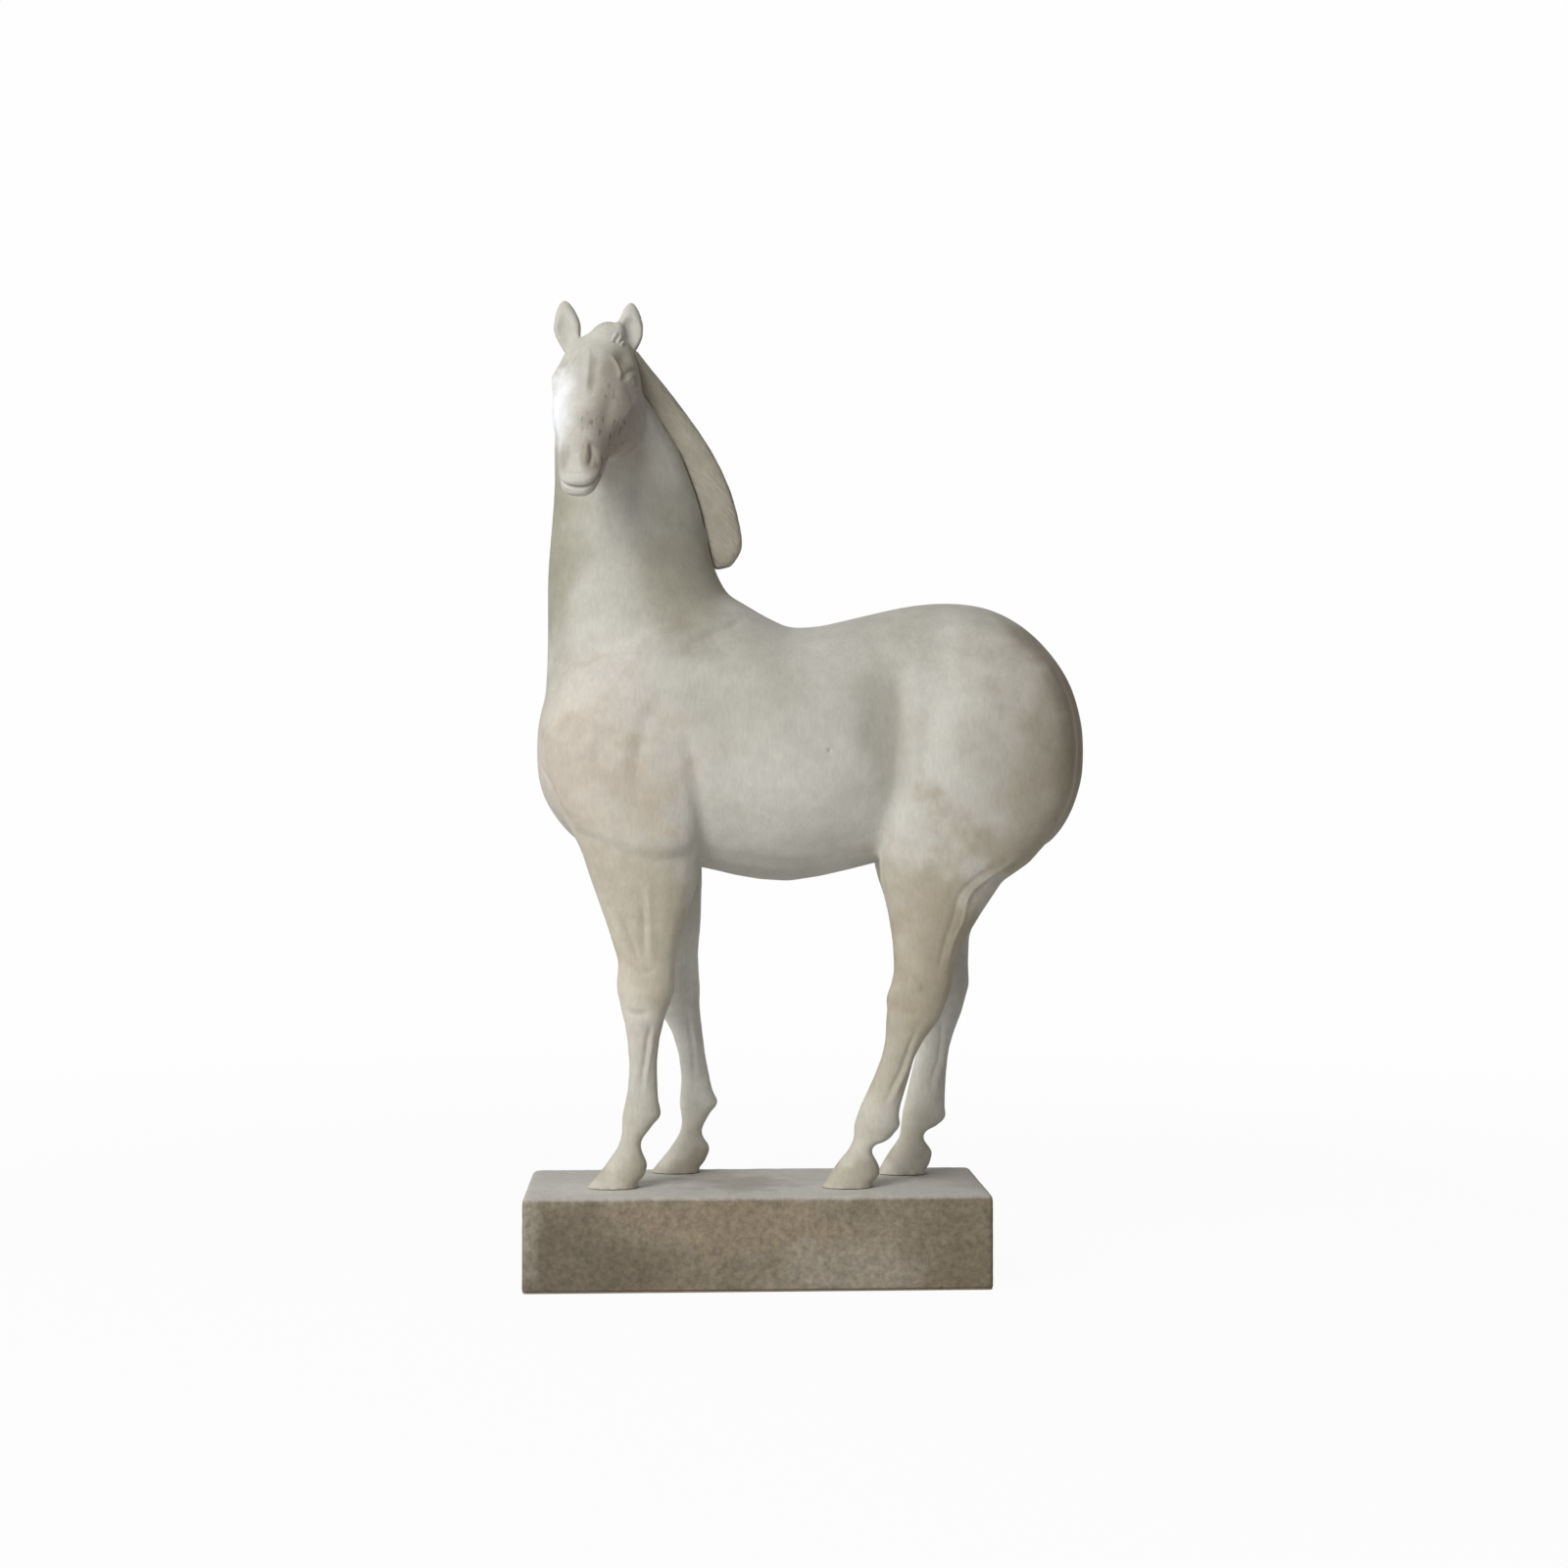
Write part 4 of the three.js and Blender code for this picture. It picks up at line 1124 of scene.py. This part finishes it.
@dataclass
class HorseCasting:
    """The horse without its mane: its castings joined, rubbed down and carved."""

    castings: tuple[str, ...] = (
        "body_left_shell",
        "body_right_shell",
        "head",
        "ear_left",
        "ear_right",
        "leg_left_fore",
        "leg_right_fore",
        "leg_left_hind",
        "leg_right_hind",
    )
    fillers: tuple[str, ...] = (
        "rod_left_fore",
        "rod_right_fore",
        "rod_left_hind",
        "rod_right_hind",
        "seam_pin_loin",
        "seam_pin_croup",
        "seam_pin_belly",
        "seam_pin_brisket",
        "seam_pin_throat",
        "seam_pin_crest",
        "head_pin",
    )
    lumps: tuple[tuple[Point, Point], ...] = (
        ((-79.0, -12.0, 494.0), (9.5, 8.0, 8.2)),
        ((-74.0, -13.0, 496.0), (5.0, 5.0, 6.4)),
    )
    seam_cover: float = 0.25
    voxel: float = 1.0
    passes: int = 110
    trunk_reach: float = 5.2
    limb_reach: float = 2.0
    head_reach: float = 1.6
    poll_reach: float = 3.6
    ear_reach: float = 0.9
    most_triangles: int = 190_000

    def gather(self, nodes: dict[str, bpy.types.Object]) -> bpy.types.Object:
        """Joins copies of the castings, grown so that their seams close.

        Args:
            nodes: The model's nodes by name.

        Returns:
            One object that holds them all.
        """
        copies = [copy_of(nodes[name], f"copy_{name}") for name in self.castings + self.fillers]
        for copy in copies:
            apply_modifier(copy, "DISPLACE", strength=self.seam_cover * MM, mid_level=0.0)
        for centre, radii in self.lumps:
            bpy.ops.mesh.primitive_uv_sphere_add(segments=32, ring_count=16, location=Vector(centre) * MM)
            lump = bpy.context.active_object
            lump.scale = Vector(radii) * MM
            bpy.ops.object.transform_apply(location=True, rotation=False, scale=True)
            copies.append(lump)
        for copy in copies:
            copy.select_set(True)
        bpy.context.view_layer.objects.active = copies[0]
        bpy.ops.object.join()
        return copies[0]

    def skin(self, piece: bpy.types.Object) -> None:
        """Turns the joined castings into one skin and cuts it level at the soles."""
        apply_modifier(piece, "REMESH", mode="VOXEL", voxel_size=self.voxel * MM)
        in_edit_mode(piece)
        bpy.ops.mesh.bisect(
            plane_co=(0.0, 0.0, (PLINTH_TOP_Z + 0.02) * MM),
            plane_no=(0.0, 0.0, 1.0),
            use_fill=True,
            clear_inner=True,
        )
        bpy.ops.object.mode_set(mode="OBJECT")

    def rub_down(self, piece: bpy.types.Object) -> None:
        """Smooths the facets of the castings away, least on the thin parts."""
        surface = Surface.of(piece)
        x, y, z = surface.points.T
        limb = 1.0 - smoothstep(205.0, 245.0, z)
        frame = (surface.points - np.array(HEAD.poll)) @ HEAD.axes.T
        skull = smoothstep(-14.0, -4.0, frame[:, 0]) * smoothstep(-60.0, -48.0, frame[:, 1])
        skull *= smoothstep(400.0, 404.0, z)
        ear = smoothstep(497.0, 501.0, z) * smoothstep(9.0, 12.0, np.abs(frame[:, 2]))
        poll = (1.0 - smoothstep(8.0, 12.0, np.abs(frame[:, 2]))) * smoothstep(-16.0, -8.0, frame[:, 1])
        poll *= 1.0 - smoothstep(2.0, 10.0, frame[:, 0])
        reach = self.trunk_reach + (self.limb_reach - self.trunk_reach) * limb
        reach += (self.head_reach - reach) * skull
        reach += (self.poll_reach - reach) * poll
        reach += (self.ear_reach - reach) * ear
        share = 2.0 * reach**2 / (self.passes * self.voxel**2)
        share *= smoothstep(PLINTH_TOP_Z, PLINTH_TOP_Z + 1.5, z)
        surface.relax(np.minimum(share, 0.6), self.passes)
        surface.write(piece)

    def refine_head(self, piece: bpy.types.Object) -> None:
        """Halves the mesh over the head, whose carving is finer."""
        in_edit_mode(piece)
        bpy.ops.mesh.select_all(action="DESELECT")
        bpy.ops.object.mode_set(mode="OBJECT")
        middles = np.empty(len(piece.data.polygons) * 3)
        piece.data.polygons.foreach_get("center", middles)
        middles = middles.reshape(-1, 3) / MM
        frame = (middles - np.array(HEAD.poll)) @ HEAD.axes.T
        chosen = (frame[:, 0] > -12.0) & (frame[:, 1] > -42.0) & (middles[:, 1] < 8.0)
        piece.data.polygons.foreach_set("select", chosen)
        bpy.ops.object.mode_set(mode="EDIT")
        bpy.ops.mesh.subdivide(number_cuts=1)
        bpy.ops.object.mode_set(mode="OBJECT")
        surface = Surface.of(piece)
        frame = (surface.points - np.array(HEAD.poll)) @ HEAD.axes.T
        chosen = (frame[:, 0] > -12.0) & (frame[:, 1] > -42.0) & (surface.points[:, 1] < 8.0)
        surface.relax(np.where(chosen, 0.5, 0.0), 4)
        surface.write(piece)

    def carve(self, piece: bpy.types.Object, strokes: tuple[Stroke, ...], dabs: tuple[Dab, ...]) -> np.ndarray:
        """Carves strokes into the skin and puts dabs on it.

        Args:
            piece: The skin.
            strokes: What to carve.
            dabs: What to put on.

        Returns:
            How far each vertex has gone in or out, in millimetres.
        """
        surface = Surface.of(piece)
        tree = surface.index()
        moved = np.zeros(len(surface.points))
        for stroke in strokes:
            for path, flipped in self.repeats(surface, stroke):
                moved += self.stroke_height(surface, tree, stroke, path, flipped)
        lumps = np.zeros(len(surface.points))
        for dab in dabs:
            centre = np.array(dab.centre)
            lumps += dab.heights(surface, centre)
            if dab.mirror is SIDES:
                lumps += dab.heights(surface, centre * (1.0, -1.0, 1.0) + (0.0, 2 * MEDIAN_Y, 0.0))
            if dab.mirror is HEAD_SIDES:
                lumps += dab.heights(surface, HEAD.mirrored(centre[None])[0])
        direction = surface.normals.copy()
        direction[:, 2] *= smoothstep(PLINTH_TOP_Z, PLINTH_TOP_Z + 2.0, surface.points[:, 2])
        surface.points += direction * (moved + lumps)[:, None]
        surface.write(piece)
        return moved

    @staticmethod
    def repeats(surface: Surface, stroke: Stroke) -> list[tuple[np.ndarray, bool]]:
        """Gives a stroke's path and those on which it is repeated.

        Args:
            surface: The skin.
            stroke: The stroke, which lies on the left side.

        Returns:
            Each path, and whether left and right change places on it.
        """
        path = np.array(stroke.path, dtype=float)
        if stroke.mirror is SIDES:
            return [(path, False), (path * (1.0, -1.0, 1.0) + (0.0, 2 * MEDIAN_Y, 0.0), True)]
        if stroke.mirror is HEAD_SIDES:
            return [(path, False), (HEAD.mirrored(path), True)]
        if stroke.mirror is not LEGS:
            return [(path, False)]
        inner, far_inner, far_outer = [], [], []
        left = surface.points[:, 1] < MEDIAN_Y
        for place in path[path[:, 2] < LEG_TOP_Z]:
            level = (np.abs(surface.points[:, 2] - place[2]) < 2.0) & (
                np.abs(surface.points[:, 0] - place[0]) < 45.0
            )
            near, far = (
                (surface.points[rows].min(axis=0) + surface.points[rows].max(axis=0)) / 2
                for rows in (level & left, level & ~left)
            )
            x, y, z = place
            inner.append((x, 2 * near[1] - y, z))
            far_inner.append((x + far[0] - near[0], far[1] - near[1] + y, z))
            far_outer.append((x + far[0] - near[0], far[1] + near[1] - y, z))
        return [
            (path, False),
            (np.array(inner), True),
            (np.array(far_inner), False),
            (np.array(far_outer), True),
        ]

    @staticmethod
    def stroke_height(
        surface: Surface, tree: KDTree, stroke: Stroke, path: np.ndarray, flipped: bool
    ) -> np.ndarray:
        """Works out what one stroke does to every vertex.

        Args:
            surface: The skin.
            tree: Finds the vertex nearest a place.
            stroke: The stroke.
            path: Its path, or the mirrored one.
            flipped: Whether the path is the mirrored one, on which left and right change places.

        Returns:
            The height at each vertex.
        """
        found = [tree.find(place)[1] for place in resampled(path, 2.0)]
        snapped = surface.points[found]
        facing = surface.normals[found].mean(axis=0)
        snapped[1:-1] = (snapped[:-2] + 2 * snapped[1:-1] + snapped[2:]) / 4
        margin = 3.0 * stroke.width + (2.0 * stroke.soft if stroke.tool is STEP else 0.0)
        inside = np.all(
            (surface.points > snapped.min(axis=0) - margin) & (
                surface.points < snapped.max(axis=0) + margin
            ),
            axis=1,
        )
        rows = np.nonzero(inside)[0]
        points, normals = surface.points[rows], surface.normals[rows]
        best = np.full(len(rows), np.inf)
        side = np.zeros(len(rows))
        along = np.zeros(len(rows))
        count = len(snapped) - 1
        for number, (start, end) in enumerate(zip(snapped, snapped[1:])):
            step = end - start
            share = np.clip(((points - start) @ step) / max(step @ step, 1e-9), 0.0, 1.0)
            gap = points - (start + share[:, None] * step)
            distance = np.linalg.norm(gap, axis=1)
            closer = distance < best
            best[closer] = distance[closer]
            turn = (np.cross(step, gap) * normals).sum(axis=1)
            side[closer] = np.sign(turn[closer])
            along[closer] = (number + share[closer]) / count
        fade = smoothstep(0.0, stroke.ends, along) * smoothstep(0.0, stroke.ends, 1.0 - along)
        fade *= smoothstep(-0.1, 0.35, normals @ facing)
        offset = best * side * (-1.0 if flipped else 1.0)
        result = np.zeros(len(surface.points))
        result[rows] = stroke.height * stroke.across(offset) * fade
        return result

    def mark_hollows(self, piece: bpy.types.Object, moved: np.ndarray) -> None:
        """Stores how deep each vertex lies in a carved hollow, for the patina.

        Args:
            piece: The skin.
            moved: How far the vertices went in or out.
        """
        surface = Surface.of(piece)
        spread = surface.points.copy()
        for _ in range(14):
            spread = surface.neighbour_mean(spread)
        bend = ((spread - surface.points) * surface.normals).sum(axis=1)
        hollow = smoothstep(0.25, 1.6, bend) * 0.5 + smoothstep(0.5, 2.4, -moved) * 0.4
        layer = piece.data.attributes.new(HOLLOW, "FLOAT", "POINT")
        layer.data.foreach_set("value", np.clip(hollow, 0.0, 0.8))

    def build(self, nodes: dict[str, bpy.types.Object]) -> bpy.types.Object:
        """Makes the finished skin.

        Args:
            nodes: The model's nodes by name.

        Returns:
            The skin.
        """
        piece = self.gather(nodes)
        piece.name = piece.data.name = "horse_casting"
        self.skin(piece)
        self.rub_down(piece)
        self.refine_head(piece)
        moved = self.carve(piece, BODY_STROKES + HEAD_STROKES, BODY_DABS + HEAD_DABS)
        self.mark_hollows(piece, moved)
        triangles = 2 * len(piece.data.polygons)
        apply_modifier(piece, "DECIMATE", ratio=min(1.0, self.most_triangles / triangles))
        select_only(piece)
        bpy.ops.object.shade_smooth()
        return piece

    def dress(self, piece: bpy.types.Object, finish: bpy.types.Material) -> None:
        """Gives the skin its finish, hangs it on the body and hides the castings that it stands for."""
        piece.data.materials.append(finish)
        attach(piece, BODY)
        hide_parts(*self.castings)


@dataclass
class Mane:
    """The upright mane, clipped to one curved slab."""

    voxel: float = 0.7
    passes: int = 60
    reach: float = 1.6

    def build(self, nodes: dict[str, bpy.types.Object]) -> bpy.types.Object:
        """Makes the mane from its casting, sunk into the crest."""
        piece = copy_of(nodes["mane"], "mane_slab")
        apply_modifier(piece, "DISPLACE", strength=0.5 * MM, mid_level=0.0)
        apply_modifier(piece, "REMESH", mode="VOXEL", voxel_size=self.voxel * MM)
        surface = Surface.of(piece)
        share = 2.0 * self.reach**2 / (self.passes * self.voxel**2)
        surface.relax(np.full(len(surface.points), min(share, 0.6)), self.passes)
        surface.write(piece)
        layer = piece.data.attributes.new(HOLLOW, "FLOAT", "POINT")
        layer.data.foreach_set("value", np.full(len(surface.points), 0.12))
        select_only(piece)
        bpy.ops.object.shade_smooth()
        return piece

    def dress(self, piece: bpy.types.Object, finish: bpy.types.Material) -> None:
        """Gives the mane its finish, hangs it on the body and hides the mane's node."""
        piece.data.materials.append(finish)
        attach(piece, BODY)
        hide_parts("mane")


@dataclass
class Plinth:
    """The stone block with worn edges."""

    bevel: float = 2.6
    spare: float = 8.0

    def build(self, nodes: dict[str, bpy.types.Object]) -> bpy.types.Object:
        """Makes the block from a cube, which is cut level underneath once its edges are worn.

        Args:
            nodes: The model's nodes by name; not used.

        Returns:
            The block.
        """
        low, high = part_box("plinth")
        below = Vector((low[0], low[1], low[2] - self.spare * MM))
        size = high - below
        bpy.ops.mesh.primitive_cube_add(size=1.0, location=(below + high) / 2)
        piece = bpy.context.active_object
        piece.name = piece.data.name = "plinth_block"
        piece.scale = size
        bpy.ops.object.transform_apply(location=True, rotation=False, scale=True)
        apply_modifier(piece, "BEVEL", width=self.bevel * MM, segments=4, limit_method="ANGLE")
        apply_modifier(piece, "REMESH", mode="VOXEL", voxel_size=1.2 * MM)
        surface = Surface.of(piece)
        surface.relax(np.full(len(surface.points), 0.4), 6)
        wear = np.array(
            [noise.noise(Vector(p) / 11.0) + 0.5 * noise.noise(Vector(p) / 4.0) for p in surface.points]
        )
        surface.points -= surface.normals * (0.12 + 0.22 * np.abs(wear))[:, None]
        surface.write(piece)
        in_edit_mode(piece)
        bpy.ops.mesh.bisect(plane_co=low, plane_no=(0.0, 0.0, 1.0), use_fill=True, clear_inner=True)
        bpy.ops.object.mode_set(mode="OBJECT")
        select_only(piece)
        bpy.ops.object.shade_smooth()
        return piece

    def dress(self, piece: bpy.types.Object, finish: bpy.types.Material) -> None:
        """Gives the block its finish, hangs it on the body and hides the plinth's node."""
        piece.data.materials.append(finish)
        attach(piece, BODY)
        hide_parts("plinth")


@dataclass
class Fixings:
    """The hidden steel and the felt, which keep the shapes of their CAD nodes."""

    steel_prefixes: tuple[str, ...] = ("rod_", "washer_", "nut_", "seam_pin_", "head_pin")

    def dress(self, nodes: dict[str, bpy.types.Object], steel: bpy.types.Material, felt: bpy.types.Material) -> None:
        """Gives each node its finish.

        Args:
            nodes: The model's nodes by name.
            steel: Finish of the rods, washers, nuts and pins.
            felt: Finish of the sheet underneath.
        """
        for name, node in nodes.items():
            finish = steel if name.startswith(self.steel_prefixes) else felt
            if finish is steel or name == "felt_sheet":
                node.data.materials.clear()
                node.data.materials.append(finish)
                log.info("%s: %s", name, finish.name)


@dataclass
class Studio:
    """Pale floor, soft light and the camera of the photograph."""

    lens: float = 54.0
    camera_place: Point = (-44.6, -1249.0, 241.0)
    camera_turn: float = 2.74
    camera_rise: float = 0.84
    floor_size: float = 12.0
    key_power: float = 31.0
    rim_power: float = 3.0
    sky: float = 0.3
    sky_right: float = 0.1

    def build_camera(self) -> None:
        """Adds the camera at the photograph's place and angle."""
        data = bpy.data.cameras.new("photo_camera")
        data.sensor_width = 36.0
        data.lens = self.lens
        camera = bpy.data.objects.new("photo_camera", data)
        bpy.context.scene.collection.objects.link(camera)
        camera.location = Vector(self.camera_place) * MM
        camera.rotation_euler = (math.radians(90.0 + self.camera_rise), 0.0, -math.radians(self.camera_turn))
        bpy.context.scene.camera = camera

    def add_lamp(self, name: str, place: Point, target: Point, size: float, power: float) -> None:
        """Adds one square soft lamp, in metres, that the camera doesn't see.

        Args:
            name: The lamp's name.
            place: Where it stands.
            target: What it points at.
            size: Its side.
            power: Its power in watts.
        """
        data = bpy.data.lights.new(name, "AREA")
        data.size = size
        data.energy = power
        lamp = bpy.data.objects.new(name, data)
        bpy.context.scene.collection.objects.link(lamp)
        lamp.location = place
        lamp.rotation_euler = (Vector(target) - Vector(place)).to_track_quat("-Z", "Y").to_euler()
        lamp.visible_camera = False

    def seen_white(self, tree: bpy.types.NodeTree) -> bpy.types.NodeSocket:
        """Adds the test for rays that should find plain white: from the camera or a gloss.

        Args:
            tree: The node tree that it joins.

        Returns:
            1 for such a ray, else 0.
        """
        rays = add_node(tree, "LightPath").outputs
        gloss = add_node(
            tree,
            "Math",
            {0: rays["Is Camera Ray"], 1: rays["Is Glossy Ray"]},
            operation="MAXIMUM",
        )
        either = add_node(
            tree,
            "Math",
            {0: gloss.outputs["Value"], 1: rays["Is Transmission Ray"]},
            operation="MAXIMUM",
        )
        return either.outputs["Value"]

    def build_world(self) -> None:
        """Adds the light of the room, weaker from the right, which looks white to the camera."""
        world = bpy.data.worlds.new("studio_world")
        bpy.context.scene.world = world
        world.use_nodes = True
        tree = world.node_tree
        tree.nodes.clear()
        way = add_node(tree, "TexCoord").outputs["Generated"]
        parts = add_node(tree, "SeparateXYZ", {"Vector": way})
        room = add_node(
            tree,
            "MapRange",
            {"Value": parts.outputs["X"], "From Max": 0.75, "To Min": self.sky, "To Max": self.sky_right},
        )
        strength = add_node(
            tree,
            "Mix",
            {"Factor": self.seen_white(tree), "A": room.outputs["Result"], "B": 0.99},
        )
        back = add_node(
            tree,
            "Background",
            {"Color": (1.0, 1.0, 1.0, 1.0), "Strength": strength.outputs["Result"]},
        )
        add_node(tree, "OutputWorld", {"Surface": back.outputs["Background"]})

    def build_floor(self) -> None:
        """Adds the pale floor, which the camera sees near white with a faint shadow."""
        bpy.ops.object.select_all(action="DESELECT")
        bpy.ops.mesh.primitive_plane_add(size=self.floor_size, location=(0.0, 0.0, -0.0002))
        floor = bpy.context.active_object
        floor.name = floor.data.name = "floor"
        material = bpy.data.materials.new("white_floor")
        material.use_nodes = True
        tree = material.node_tree
        tree.nodes.clear()
        place = add_node(tree, "TexCoord").outputs["Object"]
        away = add_node(tree, "VectorMath", {0: place}, operation="LENGTH")
        clean = add_node(
            tree,
            "MapRange",
            {"Value": away.outputs["Value"], "From Min": 0.4, "From Max": 1.4, "To Min": 0.965, "To Max": 1.0},
            interpolation_type="SMOOTHSTEP",
        )
        paper = add_node(tree, "BsdfDiffuse", {"Color": linear("e4e4e4")})
        white = add_node(tree, "Emission", {"Color": (1.0, 1.0, 1.0, 1.0), "Strength": 0.99})
        share = add_node(
            tree,
            "Math",
            {0: self.seen_white(tree), 1: clean.outputs["Result"]},
            operation="MULTIPLY",
        )
        mixed = add_node(
            tree,
            "MixShader",
            {0: share.outputs["Value"], 1: paper.outputs["BSDF"], 2: white.outputs["Emission"]},
        )
        add_node(tree, "OutputMaterial", {"Surface": mixed.outputs["Shader"]})
        floor.data.materials.append(material)

    def build(self) -> None:
        """Builds all of the studio."""
        self.build_camera()
        self.build_world()
        self.build_floor()
        self.add_lamp("key_lamp", (-1.13, -1.55, 1.155), (0.0, 0.0, 0.3), 1.0, self.key_power)
        self.add_lamp("rim_lamp", (-1.67, 0.78, 0.7), (0.0, 0.0, 0.25), 0.6, self.rim_power)
        bpy.context.scene.view_settings.view_transform = "Standard"


def main() -> None:
    """Builds every sub-assembly in turn and reports it."""
    logging.basicConfig(level=logging.INFO, format="%(message)s", force=True)
    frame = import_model()
    bpy.ops.object.select_all(action="DESELECT")
    nodes = frame["nodes"]
    poll = (Wash((-79.0, -10.0, 500.0), (24.0, 20.0, 12.0), "c8c5bb", 1.0),)
    mane_resin = AgedResin("aged_mane_resin", "bdb7a7", "a6a08f", washes=poll, flecked=None, comb=1.6)
    for maker, finish in (
        (HorseCasting(), AgedResin().build()),
        (Mane(), mane_resin.build()),
        (Plinth(), CastStone().build()),
    ):
        piece = maker.build(nodes)
        maker.dress(piece, finish)
        log.info("%s: %d faces", piece.name, len(piece.data.polygons))
    Fixings().dress(nodes, DrawnSteel().build(), WoolFelt().build())
    Studio().build()


if __name__ == "__main__":
    main()
